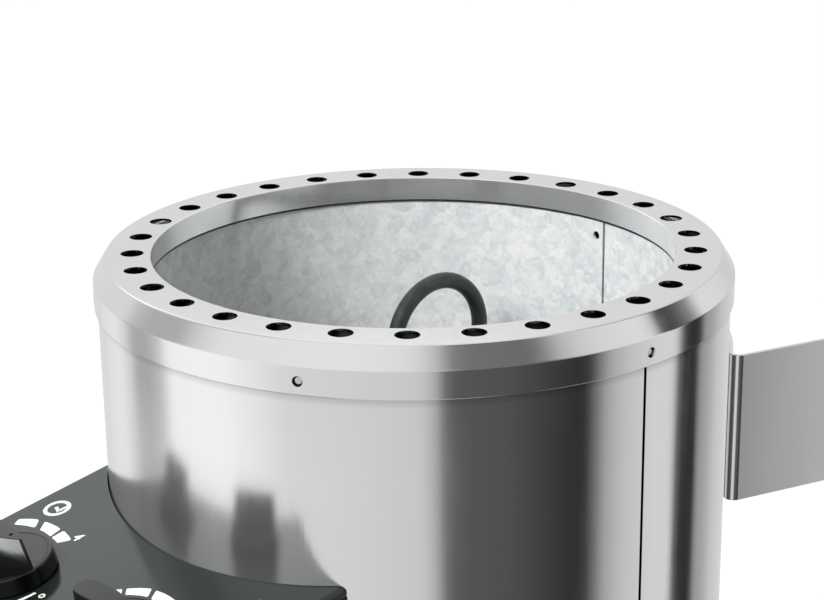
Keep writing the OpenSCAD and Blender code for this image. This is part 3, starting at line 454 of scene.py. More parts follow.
def crystals(mat, vector, scale):
    """One random tone for each crystal of a zinc coat"""
    cells = node(mat, "ShaderNodeTexVoronoi", {"Vector": vector, "Scale": scale, "Randomness": 1.0})
    return node(mat, "ShaderNodeSeparateColor", {"Color": cells.outputs["Color"]}).outputs["Red"]


def weighed_sum(mat, *terms):
    """Sum of values times their weights"""
    total = 0.0
    for value, weight in terms:
        total = node(mat, "ShaderNodeMath", {0: value, 1: weight, 2: total},
                     operation="MULTIPLY_ADD").outputs["Value"]
    return total


def galvanised_sheet():
    """Zinc coat with ragged crystals of slightly different tone and gloss over finer mottling"""
    mat = material("galvanised", (0.74, 0.75, 0.75), 0.15, 0.5)
    vector = place(mat)
    ragged = bent_space(mat, vector, 150.0, 0.010)
    cloud = noise(mat, vector, 26.0, 3.0, 0.55)
    fine = noise(mat, vector, 420.0, 5.0, 0.65)
    mixed = weighed_sum(mat, (crystals(mat, ragged, 135.0), 0.19), (crystals(mat, ragged, 290.0), 0.17),
                        (cloud, 0.28), (fine, 0.36))
    drive(mat, "Base Color", tones(mat, mixed, [(0.30, (0.60, 0.645, 0.67)), (0.48, (0.74, 0.765, 0.77)),
                                                (0.66, (0.87, 0.875, 0.85))]))
    drive(mat, "Roughness", span(mat, mixed, 0.58, 0.4, 0.3, 0.7))
    bump(mat, mixed, 0.12, 0.0002)
    return mat


def oxidised_sheath():
    """Element tube of dark grey-green oxide, paler where it was handled"""
    mat = material("element_sheath", (0.05, 0.062, 0.055), 0.45, 0.38)
    vector = place(mat)
    mottle = noise(mat, vector, 140.0, 5.0, 0.6)
    cloud = noise(mat, vector, 28.0, 2.0)
    mixed = node(mat, "ShaderNodeMath", {0: mottle, 1: cloud}, operation="MULTIPLY").outputs["Value"]
    drive(mat, "Base Color", tones(mat, mixed, [(0.1, (0.030, 0.038, 0.034)), (0.25, (0.052, 0.066, 0.058)),
                                                (0.42, (0.095, 0.11, 0.10))]))
    drive(mat, "Roughness", span(mat, mottle, 0.30, 0.46, 0.3, 0.7))
    bump(mat, mottle, 0.35, 0.00008)
    return mat


STEEL = polished_steel("polished_steel", 0.10, 0.07)
RIM_STEEL = polished_steel("rim_steel", 0.10)
COLLAR_STEEL = polished_steel("collar_steel", 0.14, metallic=0.8)
LINER = galvanised_sheet()
SHEATH = oxidised_sheath()
# Painted shade: near black for the faces inside the air gap between the sheets, the gap's spacers and the
# ring under the collar, standing for the shade there
GAP_SHADE = grained("painted_gap_shade", (0.03, 0.03, 0.03), 0.3, 0.6, 300.0, 0.06, 0.2)
BRACKET = grained("bracket_steel", (0.90, 0.90, 0.90), 1.0, 0.19, 420.0, 0.015, 0.02, 0.000002)
PANEL = grained("panel_paint", (0.011, 0.016, 0.012), 0.0, 0.15, 900.0, 0.02, 0.06, 0.000006, IOR=1.55,
               Specular_Tint=(0.91, 1.0, 0.93, 1.0))
KNOB = grained("knob_black", (0.0015, 0.002, 0.0018), 0.0, 0.13, 1100.0, 0.02, 0.05, 0.000003, IOR=1.52,
              Specular_Tint=(0.94, 1.0, 0.95, 1.0))
HOUSING = grained("black_housing", (0.016, 0.016, 0.017), 0.0, 0.38, 1500.0, 0.05, 0.1, 0.00003)
ZINC = grained("zinc_fasteners", (0.66, 0.67, 0.68), 1.0, 0.30, 700.0, 0.06, 0.08)
BLACK_SCREW = grained("black_screws", (0.03, 0.03, 0.032), 0.55, 0.36, 900.0, 0.06, 0.1)
GRATE = grained("grate_steel", (0.22, 0.22, 0.225), 0.85, 0.45, 260.0, 0.1, 0.2, 0.00006)
SHAFT = grained("shaft_steel", (0.6, 0.6, 0.6), 1.0, 0.28, 800.0, 0.05, 0.06, 0.00001, stretch=(1, 1, 0.1))
CASING = grained("unit_casing", (0.62, 0.58, 0.48), 0.0, 0.42, 500.0, 0.06, 0.06)
COPPER = grained("copper", (0.75, 0.36, 0.22), 1.0, 0.34, 420.0, 0.08, 0.15)
RESET_RED = grained("reset_red", (0.48, 0.03, 0.02), 0.0, 0.32, 800.0, 0.05, 0.06)
GLAND = grained("gland_plastic", (0.05, 0.05, 0.052), 0.0, 0.45, 1200.0, 0.06, 0.1, 0.00004)
PRINT = grained("white_print", (0.84, 0.85, 0.84), 0.0, 0.42, 1500.0, 0.05, 0.02, 0.000004)
PUNCH = grained("dot_black", (0.006, 0.006, 0.006), 0.0, 0.6, 900.0, 0.05, 0.1)


# ---------------------------------------------------------------- sheet-metal body

def rim_section():
    """Closed section of the rim's bent sheet, from the collar's edge round to the skirt and back"""
    slope = math.degrees(math.atan2(CHAMFER_H, CHAMFER_W))
    inner = RIM_BEND_R - RIM_T
    drop = -CHAMFER_H - RIM_BEND_R
    edge = 0.25
    outer = [(COLLAR_R + COLLAR_LEAN, -COLLAR_H + edge)]
    outer += arc(COLLAR_R + COLLAR_BEND_R, -COLLAR_BEND_R, COLLAR_BEND_R, 180, 90, 6)
    outer += arc(FLAT_R, -RIM_BEND_R, RIM_BEND_R, 90, 90 - slope, 6)
    outer += arc(SKIRT_R - RIM_BEND_R, drop, RIM_BEND_R, 90 - slope, 0, 6)
    outer += [(SKIRT_R, -SKIRT_H + edge), (SKIRT_R - edge, -SKIRT_H), (SKIRT_R - RIM_T + edge, -SKIRT_H),
              (SKIRT_R - RIM_T, -SKIRT_H + edge)]
    outer += arc(SKIRT_R - RIM_BEND_R, drop, inner, 0, 90 - slope, 4)
    outer += arc(FLAT_R, -RIM_BEND_R, inner, 90 - slope, 90, 4)
    outer += [(COLLAR_R + RIM_T, -RIM_T), (COLLAR_R + COLLAR_LEAN + RIM_T, -COLLAR_H + edge),
              (COLLAR_R + COLLAR_LEAN + RIM_T - edge, -COLLAR_H), (COLLAR_R + COLLAR_LEAN + edge, -COLLAR_H)]
    return outer


def skin(obj, radius, margin, outward, finish):
    """Gives the faces at a radius that look outwards, or inwards for -1, a finish of their own"""
    obj.data.materials.append(finish)
    for face in obj.data.polygons:
        away = Vector((face.center.x - AXIS.x, face.center.y - AXIS.y, 0))
        if abs(away.length / MM - radius) < margin and face.normal.dot(away.normalized()) * outward > 0.5:
            face.material_index = 1


def radial(a, z, r, reach):
    """Round cutter along a radius, from one distance from the axis to another"""
    return rod(polar(reach[0], a, z), polar(reach[1], a, z), r)


def ring_of_rods(count, first, z, r, reach):
    """Radial cutters round the body"""
    return [radial(first + i * 360 / count, z, r, reach) for i in range(count)]


def build_rim():
    """Bent ring with its holes, its collar a little duller"""
    rim = make("rim", [revolved(rim_section(), 360)])
    holes = []
    for i in range(RIM_HOLES):
        x, y, _ = polar(RIM_HOLE_CIRCLE_R, -90 + 360 * i / RIM_HOLES)
        holes.append(rod((x, y, RIM_CUT_Z[0]), (x, y, RIM_CUT_Z[1]), RIM_HOLE_R, 64))
    combine(rim, holes + ring_of_rods(SKIRT_HOLES, SKIRT_HOLE_A, SKIRT_HOLE_Z, SKIRT_HOLE_R, SKIRT_CUT))
    fit(smooth(rim, 32), "heater", "polished_steel", RIM_STEEL, "rim_ring")
    skin(rim, COLLAR_R + COLLAR_LEAN / 2, COLLAR_LEAN / 2 + 0.1, -1, COLLAR_STEEL)


def sheet_section(r_in, r_out, z0, z1, edge=0.2):
    """Section of an upright sheet with eased edges"""
    return [(r_in, z0 + edge), (r_in + edge, z0), (r_out - edge, z0), (r_out, z0 + edge),
            (r_out, z1 - edge), (r_out - edge, z1), (r_in + edge, z1), (r_in, z1 - edge)]


def bolt_places():
    """Angles and heights of the bracket bolts"""
    places = [(90 + s * BOLT_HALF_A, UPPER_Z + dz) for s in (-1, 1) for dz in (-BOLT_RISE, BOLT_RISE)]
    return places + [(90 + s * BOLT_HALF_A, LOWER_Z) for s in (-1, 1)]


def build_shell():
    """Outer sheet with its open seam, its holes and the opening for the wires"""
    shell = make("outer_sheet", [revolved(sheet_section(SHELL_R - SHELL_T, SHELL_R, BASE_Z, SHELL_TOP), 360)])
    cuts = ring_of_rods(SKIRT_HOLES, SKIRT_HOLE_A, SKIRT_HOLE_Z, SHELL_HOLE_R, SHELL_CUT)
    cuts += ring_of_rods(BASE_SCREWS, BASE_SCREW_A, BASE_Z + BASE_SCREW_RISE, BASE_SCREW_HOLE_R, SHELL_CUT)
    cuts += [radial(a, z, NUT_HOLE_R, SHELL_CUT) for a, z in bolt_places()]
    cuts.append(block((SHELL_CUT[0], -SEAM_GAP / 2, BASE_Z - 1), (SHELL_CUT[1], SEAM_GAP / 2, -SKIRT_H)))
    cuts.append(block(*WIRE_PORT))
    combine(shell, cuts)
    fit(smooth(shell, 32), "heater", "polished_steel", STEEL, "outer_shell")
    # The shell's inner face gets the painted gap shade
    skin(shell, SHELL_R - SHELL_T, 0.15, -1, GAP_SHADE)


def build_studs():
    """Studs behind the holes of the skirt, each on a dark washer inside the shell that paints the shade seen
    in the hole
    """
    studs = []
    shade_washers = []
    for i in range(SKIRT_HOLES):
        def outward(x, y, z, a=SKIRT_HOLE_A + i * 360 / SKIRT_HOLES):
            px, py, _ = polar(z, a)
            qx, qy, _ = polar(x, a + 90)
            return (px + qx, py + qy, SKIRT_HOLE_Z + y)
        studs.append(moved(turned(STUD, 40), outward))
        shade_washers.append(moved(turned(SHADE_WASHER, 40), outward))
    fit(smooth(make("skirt_studs", studs)), "heater", "fasteners", ZINC)
    # The washers are near black, a painted shade for the gap seen through the skirt holes
    fit(smooth(make("stud_washers", shade_washers)), "heater", "black_screws", BLACK_SCREW)


def arc_sheet(r_in, r_out, a0, a1, z0, z1, steps=24):
    """Strip of bent sheet between two angles"""
    section = sheet_section(r_in, r_out, z0, z1)
    return loft([[polar(r, a0 + (a1 - a0) * i / steps, z) for r, z in section] for i in range(steps + 1)])


def build_liner():
    """Inner sheet with its lap seam, its outer face painted dark for the gap's shade, a dark ring under the
    collar painted as its shadow line, and the seam's welds
    """
    liner = make("liner", [revolved(sheet_section(LINER_R, LINER_OUT_R, LINER_LOW, LINER_TOP), 300)])
    lap = arc_sheet(LAP_R, LINER_R + 0.05, SEAM_A, SEAM_A + LAP_SWEEP, LINER_LOW, LAP_TOP)
    combine(liner, [lap], "UNION")
    slit = [polar(r, SEAM_A + side, 0.0)[:2] for r, side in
            ((LAP_R - 0.5, -SLIT_A), (LINER_OUT_R + 1, -SLIT_A), (LINER_OUT_R + 1, 0), (LAP_R - 0.5, 0))]
    cuts = [loft([[(x, y, z) for x, y in slit] for z in (LINER_LOW + 6, LAP_TOP + 0.8)])]
    cuts.append(radial(SEAM_HOLE_A, SEAM_HOLE_Z, SEAM_HOLE_R, LINER_CUT))
    combine(liner, cuts)
    fit(smooth(liner, 32), "heater", "galvanised", LINER, "inner_shell")
    # The liner's outer face gets the painted gap shade
    skin(liner, LINER_OUT_R, 0.15, 1, GAP_SHADE)
    # Painted shadow line: a near-black ring peeks out under the collar's edge
    shadow_ring = make("collar_seal", [revolved(sheet_section(*SHADOW_RING_R, *SHADOW_RING_Z), 300)])
    fit(smooth(shadow_ring), "heater", "galvanised", GAP_SHADE)
    low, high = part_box("seam_rivets")
    pitch = ((high.z - low.z) / MM - 2 * RIVET_HEAD_R) / (WELDS - 1)
    top = (high.z - AXIS.z) / MM - RIVET_HEAD_R
    welds = []
    for i in range(WELDS):
        ends = [polar(r, SEAM_A + LAP_SWEEP / 2, top - pitch * i) for r in (LAP_R - 0.05, LAP_R + 0.3)]
        welds.append(rod(*ends, WELD_R, 32))
    fit(smooth(make("seam_welds", welds)), "heater", "galvanised", LINER, "seam_rivets")


# ---------------------------------------------------------------- heating elements

def tube_rings(x, y):
    """Rings of points along a U-shaped tube"""
    arch_z = -ARCH_DEPTH - TUBE_R - LEG_HALF
    foot_z = PLATE_Z + FOOT_RISE
    path = [((-LEG_HALF, foot_z + (arch_z - foot_z) * i / 6), (0, 1)) for i in range(6)]
    for i in range(65):
        a = math.pi - math.pi * i / 64
        path.append(((LEG_HALF * math.cos(a), arch_z + LEG_HALF * math.sin(a)), (math.sin(a), -math.cos(a))))
    path += [((LEG_HALF, arch_z + (foot_z - arch_z) * i / 6), (0, -1)) for i in range(1, 7)]
    rings = []
    for (py, pz), (ty, tz) in path:
        ring = []
        for k in range(40):
            c, s = math.cos(math.tau * k / 40), math.sin(math.tau * k / 40)
            ring.append((x + TUBE_R * c, y + py - TUBE_R * s * tz, pz + TUBE_R * s * ty))
        rings.append(ring)
    return rings


def build_element(name, angle, cad_node):
    """Tube with a nut, a bushing and a pin at the foot of each leg"""
    x, y, _ = polar(ELEMENT_REACH, angle)
    parts = [loft(tube_rings(x, y))]
    low = PLATE_Z - PLATE_T - LEG_END
    for s in (-LEG_HALF, LEG_HALF):
        for profile, foot, steps in ((LEG_NUT, PLATE_Z, 48), (LEG_BUSHING, low, 48), (LEG_PIN, low, 32)):
            parts.append(turned([(r, foot + rise) for r, rise in profile], steps, x, y + s))
    fit(smooth(make(name, parts), 35), "heater", "element_sheath", SHEATH, cad_node)


# ---------------------------------------------------------------- wall brackets

def bracket_path():
    """Centre line of a bracket's sheet in plan with its normals, from one wall flange to the other"""
    mid = BRACKET_IN_R + BRACKET_T / 2
    bend = BEND_R + BRACKET_T / 2
    cx, cy = (mid + bend) * math.cos(BAND_END), (mid + bend) * math.sin(BAND_END)
    side = (math.sin(ARM_A), -math.cos(ARM_A))
    along = (math.cos(ARM_A), math.sin(ARM_A))
    wall = WALL_Y - BEND_R - BRACKET_T
    run = (wall - cy + 2 * bend * math.cos(ARM_A)) / math.sin(ARM_A)
    fx, fy = cx + 2 * bend * side[0] + run * along[0], wall
    half = []
    for i in range(61):
        a = math.pi / 2 + (BAND_END - math.pi / 2) * i / 60
        half.append(((mid * math.cos(a), mid * math.sin(a)), (math.cos(a), math.sin(a))))
    a0, a1 = BAND_END - math.pi, ARM_A - math.pi / 2
    for i in range(1, 25):
        a = a0 + (a1 - a0) * i / 24
        half.append(((cx + bend * math.cos(a), cy + bend * math.sin(a)), (-math.cos(a), -math.sin(a))))
    a0, a1 = ARM_A + math.pi / 2, math.pi / 2
    for i in range(17):
        a = a0 + (a1 - a0) * i / 16
        half.append(((fx + bend * math.cos(a), fy + bend * math.sin(a)), (math.cos(a), math.sin(a))))
    half.append(((fx + FLANGE_L - BEND_R - BRACKET_T, fy + bend), (0, 1)))
    left = [((-x, y), (-nx, ny)) for (x, y), (nx, ny) in half[:0:-1]]
    return left + half, fx + FLANGE_L - BEND_R - BRACKET_T - FLANGE_HOLE_IN


def build_bracket(name, z, height, hole_rise, bolt_rises, cad_node):
    """Folded sheet round the shell with its bolt holes and the holes for the wall"""
    path, hole_x = bracket_path()
    half_t, half_h, edge = BRACKET_T / 2, height / 2, 0.3
    section = [(-half_t, -half_h + edge), (-half_t + edge, -half_h), (half_t - edge, -half_h),
               (half_t, -half_h + edge), (half_t, half_h - edge), (half_t - edge, half_h),
               (-half_t + edge, half_h), (-half_t, half_h - edge)]
    rings = []
    for (x, y), (nx, ny) in path:
        rings.append([(x + o * nx, y + o * ny, z + h) for o, h in section])
    bracket = make(name, [loft(rings)])
    cuts = [rod(*[(x, y, z + s * hole_rise / 2) for y in WALL_CUT_Y], WALL_HOLE_R)
            for x in (-hole_x, hole_x) for s in (-1, 1)]
    cuts += [radial(90 + s * BOLT_HALF_A, z + dz, BOLT_HOLE_R, BOLT_CUT)
             for s in (-1, 1) for dz in bolt_rises]
    combine(bracket, cuts)
    fit(smooth(bracket, 32), "heater", "bracket_steel", BRACKET, cad_node)
    # Its reflection would break the dark streak that the photo shows in the steel beside it
    bracket.visible_glossy = False


# ---------------------------------------------------------------- control panel

def panel_loop(inset, h):
    """Outline of the panel at an inset and a height, round its front corners and back past the shell"""
    w = PANEL_W / 2 - inset
    r = PANEL_CORNER_R - inset
    front = inset - PANEL_L
    points = [(w, PANEL_BACK_V)] + [(w - r + x, front + r + y) for x, y in arc(0, 0, r, 0, -90, 12)]
    points += [(-w + r + x, front + r + y) for x, y in arc(0, 0, r, -90, -180, 12)] + [(-w, PANEL_BACK_V)]
    return [on_panel(u, v, h) for u, v in points]


def panel_solid(margin):
    """Block with rounded top edges on three sides"""
    r = PANEL_EDGE_R - margin
    loops = [panel_loop(margin, -PANEL_SKIRT - margin)]
    loops += [panel_loop(margin + r - x, y - margin) for x, y in arc(0, -r, r, 0, 90, 8)]
    return loft(loops)


def build_panel():
    """Panel with turned-down edges, cut off along the shell, with its shaft holes"""
    panel = make("panel", [panel_solid(0.0)])
    combine(panel, [panel_solid(PANEL_T)])
    rear_y = -math.sqrt(PANEL_REAR_R ** 2 - (PANEL_W / 2) ** 2)
    combine(panel, [loft([[polar(PANEL_REAR_R, i, z) for i in range(360)] for z in (TRIM_LOW, 0)])])
    combine(panel, [block((-TRIM_HALF_W, rear_y, TRIM_LOW), (TRIM_HALF_W, TRIM_BACK, 0))])
    combine(panel, [rod(*[on_panel(u, KNOB_V, h) for h in SHAFT_CUT], SHAFT_HOLE_R)
                    for u in (-KNOB_X, KNOB_X)])
    fit(smooth(panel, 32), "heater", "panel_paint", PANEL, "control_panel")


# ---------------------------------------------------------------- knobs

def exit_distance(cx, cy, r, ox, ca, sa):
    """Distance from (ox, 0) along a direction to where it leaves a circle"""
    dx, dy = ox - cx, -cy
    b = dx * ca + dy * sa
    return -b + math.sqrt(max(0.0, b * b - dx * dx - dy * dy + r * r))


def grip_outline(offset, steps=144):
    """Leaf outline of the grip grown by an offset, round at one end and pointed at the other"""
    side_y = GRIP_SIDE_R - GRIP_HALF_W
    points = []
    for i in range(steps):
        t = math.tau * i / steps
        a = t - GRIP_CROWD * math.sin(t)
        ray = (GRIP_MID_X, math.cos(a), math.sin(a))
        sides = [exit_distance(GRIP_SIDE_X, s * side_y, GRIP_SIDE_R + offset, *ray) for s in (-1, 1)]
        tip = exit_distance(0, 0, GRIP_REACH + offset, *ray)
        if ray[1] < 0:
            wall = (GRIP_END_X - GRIP_MID_X) / ray[1]
            if wall < tip:
                tip = max(wall, exit_distance(GRIP_END_X, 0, GRIP_HALF_W + offset, *ray))
        reach = min(*sides, tip)
        points.append((GRIP_MID_X + reach * ray[1], reach * ray[2]))
    return points


def grip_solid():
    """Grip with drafted flanks and an eased top edge"""
    rise = KNOB_H - DISC_H
    levels = [(GRIP_FLARE * (KNOB_H - z) / rise, z) for z in (DISC_H - 1, DISC_H, KNOB_H - GRIP_EDGE_R)]
    levels += [(x - GRIP_EDGE_R, z) for x, z in arc(0, KNOB_H - GRIP_EDGE_R, GRIP_EDGE_R, 15, 90, 5)]
    return loft([[(x, y, z) for x, y in grip_outline(o)] for o, z in levels])


def build_knob(name, side, rest, body, cad_node):
    """Skirted knob with its grip and hollow underside, and the dot sunk into the grip"""
    def seat(x, y, z):
        c, s = math.cos(rest), math.sin(rest)
        return on_panel(side * KNOB_X + x * c - y * s, KNOB_V + x * s + y * c, z)

    disc = [(KNOB_R - 0.5, KNOB_LIFT), (KNOB_R, KNOB_LIFT + 1)]
    disc += arc(DISC_R - 1, DISC_H - 1, 1, 12, 90, 6)
    disc += [(DISC_R - inset, DISC_H - depth) for inset, depth in DISC_GROOVE] + [(DISC_EYE_R, DISC_H)]
    knob = make(name, [moved(turned(disc, 192), seat)])
    combine(knob, [moved(grip_solid(), seat)], "UNION")
    hollow = make("hollow", [moved(turned([(HOLLOW_R, -1), (HOLLOW_R, HOLLOW_TOP)], 96), seat)])
    combine(hollow, [moved(turned([(BOSS_R, -2), (BOSS_R, 12)], 64), seat)])
    mesh = hollow.data
    bpy.data.objects.remove(hollow)
    cutter = [([(p.co - AXIS) / MM for p in mesh.vertices], [tuple(f.vertices) for f in mesh.polygons])]
    combine(knob, cutter)
    bpy.data.meshes.remove(mesh)
    for r, top, steps in KNOB_BORES:
        combine(knob, [moved(turned([(r, -1), (r, top)], steps), seat)])
    combine(knob, [moved(turned([(DOT_R, KNOB_H - 0.6), (DOT_R, KNOB_H + 2)], 32, DOT_X), seat)])
    fit(smooth(knob, 30), body, "knob_black", KNOB, cad_node)
    plug = turned([(DOT_R - 0.02, KNOB_H - 0.7), (DOT_R - 0.02, KNOB_H - 0.5)], 32, DOT_X)
    fit(smooth(make(name + "_dot", [moved(plug, seat)])), body, "knob_black", PUNCH)


# ---------------------------------------------------------------- print on the panel

PRINT_LOW = -0.05
PRINT_HIGH = 0.06
# Middle of each printed scale, across and up the panel
TIMER_SCALE = (-66.0, -66.8)
HEAT_SCALE = (34.0, -66.8)
# Bands of a scale: inner and outer edge, each from a radius and angle to another, and the corners' ease
TIMER_BANDS = [((41.6, 127.0, 40.4, 107.3), (47.0, 126.2, 47.8, 111.6), 1.5),
               ((39.8, 101.6, 38.9, 85.9), (47.0, 105.9, 46.3, 88.6), 0.8),
               ((38.9, 83.6, 39.3, 72.4), (46.4, 85.0, 46.4, 70.4), 0.8),
               ((41.4, -8.0, 43.0, 6.3), (43.6, -6.5, 44.6, 6.6), 0.4)]
HEAT_BANDS = [((33.6, 140.0, 35.4, 120.5), (38.4, 137.5, 40.3, 122.5), 0.8),
              ((35.8, 116.9, 38.1, 97.5), (40.9, 119.5, 44.2, 102.2), 0.8),
              ((37.8, 93.2, 38.2, 72.0), (44.1, 98.1, 45.8, 70.5), 0.8),
              ((38.3, 68.0, 38.3, 46.0), (46.0, 67.5, 46.6, 45.0), 0.8)]
# Clock sign, the figures 4 and 0, and the thermometer sign; lines as two ends and a width
CLOCK = (-85.3, -9.9)
CLOCK_R = (5.3, 7.6)
CLOCK_HANDS = [(((-86.9, -9.5), (-81.4, -11.3)), 2.0), (((-82.1, -11.9), (-82.2, -6.0)), 1.6)]
FOUR = (-49.4, -19.6)
FOUR_H = 6.2
# Height of a figure and how much its strokes are grown, both in the font's own units
FIGURE_H = 0.7
FIGURE_GROWN = 0.028
ZERO = (-17.2, -61.4)
ZERO_R = (0.9, 1.8)
BULB = (78.5, -15.0)
BULB_RINGS = [(2.0, 3.7), (0.0001, 1.2)]
SIGN_LINES = [(((78.5, -11.6), (78.5, 3.2)), 1.7), (((81.3, -6.5), (83.4, -6.5)), 0.8),
              (((81.3, -2.5), (83.4, -2.5)), 0.8), (((81.3, 1.5), (83.4, 1.5)), 0.8)]


def eased_square(length, width, ease, steps=14):
    """Outline of a unit square with corners eased by a length on the strip that it stands for"""
    es, et = min(0.5, ease / length), min(0.5, ease / width)
    points = [(es + (1 - 2 * es) * i / steps, 0.0) for i in range(steps)]
    for cs, ct, a in ((1 - es, et, -90), (1 - es, 1 - et, 0)):
        points += [(cs + es * c, ct + et * t) for c, t in arc(0, 0, 1, a, a + 90, 6)]
    points += [(1 - es - (1 - 2 * es) * i / steps, 1.0) for i in range(1, steps)]
    for cs, ct, a in ((es, 1 - et, 90), (es, et, 180)):
        points += [(cs + es * c, ct + et * t) for c, t in arc(0, 0, 1, a, a + 90, 6)]
    return points[:-1]


def printed(ring):
    """Thin solid over an outline on the panel"""
    return loft([[on_panel(u, v, h) for u, v in ring] for h in (PRINT_LOW, PRINT_HIGH)])


def flat_strip(centre, inner, outer, ease):
    """Band on the panel between two arcs, each given as (r0, a0, r1, a1)"""
    ends = [polar((inner[k] + outer[k]) / 2, (inner[k + 1] + outer[k + 1]) / 2) for k in (0, 2)]
    length = math.dist(ends[0], ends[1])
    width = (outer[0] + outer[2] - inner[0] - inner[2]) / 2
    ring = []
    for s, t in eased_square(length, width, ease):
        near, far = [[edge[k] + (edge[k + 2] - edge[k]) * s for k in (0, 1)] for edge in (inner, outer)]
        u, v, _ = polar(*[(1 - t) * near[k] + t * far[k] for k in (0, 1)])
        ring.append((centre[0] + u, centre[1] + v))
    return printed(ring)


def ring_print(centre, r0, r1, steps=72):
    """Printed ring"""
    section = [(r0, PRINT_LOW), (r1, PRINT_LOW), (r1, PRINT_HIGH), (r0, PRINT_HIGH)]
    rings = []
    for i in range(steps):
        c, s = math.cos(math.tau * i / steps), math.sin(math.tau * i / steps)
        rings.append([on_panel(centre[0] + r * c, centre[1] + r * s, h) for r, h in section])
    return loft(rings, wrap=True)


def digit(text, centre, height):
    """Printed figure, its middle at a place on the panel"""
    curve = bpy.data.curves.new("figure", "FONT")
    curve.body = text
    curve.size = 1.0
    curve.align_x = "CENTER"
    curve.align_y = "CENTER"
    curve.extrude = (PRINT_HIGH - PRINT_LOW) / 2
    curve.offset = FIGURE_GROWN
    obj = bpy.data.objects.new("figure", curve)
    bpy.context.scene.collection.objects.link(obj)
    bpy.context.view_layer.update()
    mesh = bpy.data.meshes.new_from_object(obj.evaluated_get(bpy.context.evaluated_depsgraph_get()))
    bpy.data.objects.remove(obj)
    scale = height / FIGURE_H
    mid = (PRINT_HIGH + PRINT_LOW) / 2
    verts = [on_panel(centre[0] + p.co.x * scale, centre[1] + p.co.y * scale, mid + p.co.z)
             for p in mesh.vertices]
    faces = [tuple(f.vertices) for f in mesh.polygons]
    bpy.data.meshes.remove(mesh)
    return verts, faces


def stroke(points, width):
    """Printed line with square ends through two points"""
    (u0, v0), (u1, v1) = points
    length = math.hypot(u1 - u0, v1 - v0)
    nu, nv = (v0 - v1) / length * width / 2, (u1 - u0) / length * width / 2
    return printed([(u0 + nu, v0 + nv), (u0 - nu, v0 - nv), (u1 - nu, v1 - nv), (u1 + nu, v1 + nv)])


def build_print():
    """Both scales with their signs, white on the panel, left out of the steel's reflections"""
    timer = [flat_strip(TIMER_SCALE, *band) for band in TIMER_BANDS] + [ring_print(CLOCK, *CLOCK_R)]
    timer += [stroke(*line) for line in CLOCK_HANDS]
    timer += [digit("4", FOUR, FOUR_H), ring_print(ZERO, *ZERO_R, 40)]
    heat = [flat_strip(HEAT_SCALE, *band) for band in HEAT_BANDS]
    heat += [ring_print(BULB, *radii, 48) for radii in BULB_RINGS] + [stroke(*line) for line in SIGN_LINES]
    for name, parts in (("timer_scale", timer), ("heat_scale", heat)):
        scale = make(name, parts)
        fit(scale, "heater", "panel_paint", PRINT)
        scale.visible_glossy = False


# ---------------------------------------------------------------- build

build_rim()
build_shell()
build_studs()
build_liner()
for side, angle in ELEMENT_A.items():
    build_element("element_" + side, angle, "heating_element_" + side)
build_bracket("bracket_upper", UPPER_Z, UPPER_H, UPPER_HOLE_RISE, (-BOLT_RISE, BOLT_RISE), "upper_bracket")
build_bracket("bracket_lower", LOWER_Z, LOWER_H, LOWER_HOLE_RISE, (0,), "lower_bracket")
build_panel()
build_knob("timer_grip", -1, TIMER_REST, "timer_dial", "timer_knob")
build_knob("thermostat_grip", 1, THERMOSTAT_REST, "thermostat_dial", "thermostat_knob")
build_print()

CAD_FINISH = {
    # The gap's spacers take the painted gap shade
    "gap_spacers": GAP_SHADE, "support_rings": LINER, "stone_grate": GRATE,
    "element_plate": LINER, "element_nuts": ZINC, "base_plate": LINER, "base_screws": ZINC,
    "control_box": HOUSING, "panel_screws": BLACK_SCREW, "box_floor": HOUSING, "floor_screws": BLACK_SCREW,
    "box_screws": ZINC, "timer_shaft": SHAFT, "timer_unit": ZINC, "thermostat_shaft": SHAFT,
    "thermostat_unit": CASING, "thermostat_bulb": COPPER, "limiter_unit": CASING, "reset_button": RESET_RED,
    "reset_bushing": ZINC, "terminal_block": CASING, "mounting_rail": LINER, "cable_gland": GLAND,
    "gland_nut": GLAND, "bracket_screws": ZINC, "rivet_nuts": ZINC,
}
for name, finish in CAD_FINISH.items():
    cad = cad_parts[name]
    cad.data.materials.clear()
    cad.data.materials.append(finish)


# ---------------------------------------------------------------- stage, light and camera

FLOOR_Z = -0.6
FLOOR_HALF = 12.0
# Brightness of the floor's own white, and its share where it is seen
FLOOR_WHITE = 1.12
FLOOR_SHARE = 0.88
RING_R = 1.2
RING_LOW = -2.2
RING_TOP = 2.6


def surface(mat, shader):
    """Makes a shader's output the material's surface"""
    mat.node_tree.links.new(shader, mat.node_tree.nodes["Material Output"].inputs["Surface"])


def seen_white(mat, base):
    """Mixes a surface with plain white, a little over full, where the camera or a glossy ray sees it"""
    rays = node(mat, "ShaderNodeLightPath").outputs
    seen = node(mat, "ShaderNodeMath", {0: rays["Is Camera Ray"], 1: rays["Is Glossy Ray"]},
                operation="MAXIMUM").outputs["Value"]
    weight = node(mat, "ShaderNodeMath", {0: seen, 1: FLOOR_SHARE}, operation="MULTIPLY").outputs["Value"]
    white = node(mat, "ShaderNodeEmission", {"Color": (1, 1, 1, 1), "Strength": FLOOR_WHITE})
    mix = node(mat, "ShaderNodeMixShader", {0: weight, 1: base, 2: white.outputs["Emission"]})
    surface(mat, mix.outputs["Shader"])


def build_floor():
    """White floor under the heater, left out of reflections"""
    mesh = bpy.data.meshes.new("floor")
    corners = [(-1, -1), (1, -1), (1, 1), (-1, 1)]
    mesh.from_pydata([(x * FLOOR_HALF, y * FLOOR_HALF, FLOOR_Z) for x, y in corners], [], [(0, 1, 2, 3)])
    floor = bpy.data.objects.new("floor", mesh)
    bpy.context.scene.collection.objects.link(floor)
    mat = material("floor", (0.8, 0.8, 0.8), 0.0, 0.9)
    seen_white(mat, mat.node_tree.nodes["Principled BSDF"].outputs["BSDF"])
    mesh.materials.append(mat)
    floor.visible_glossy = False


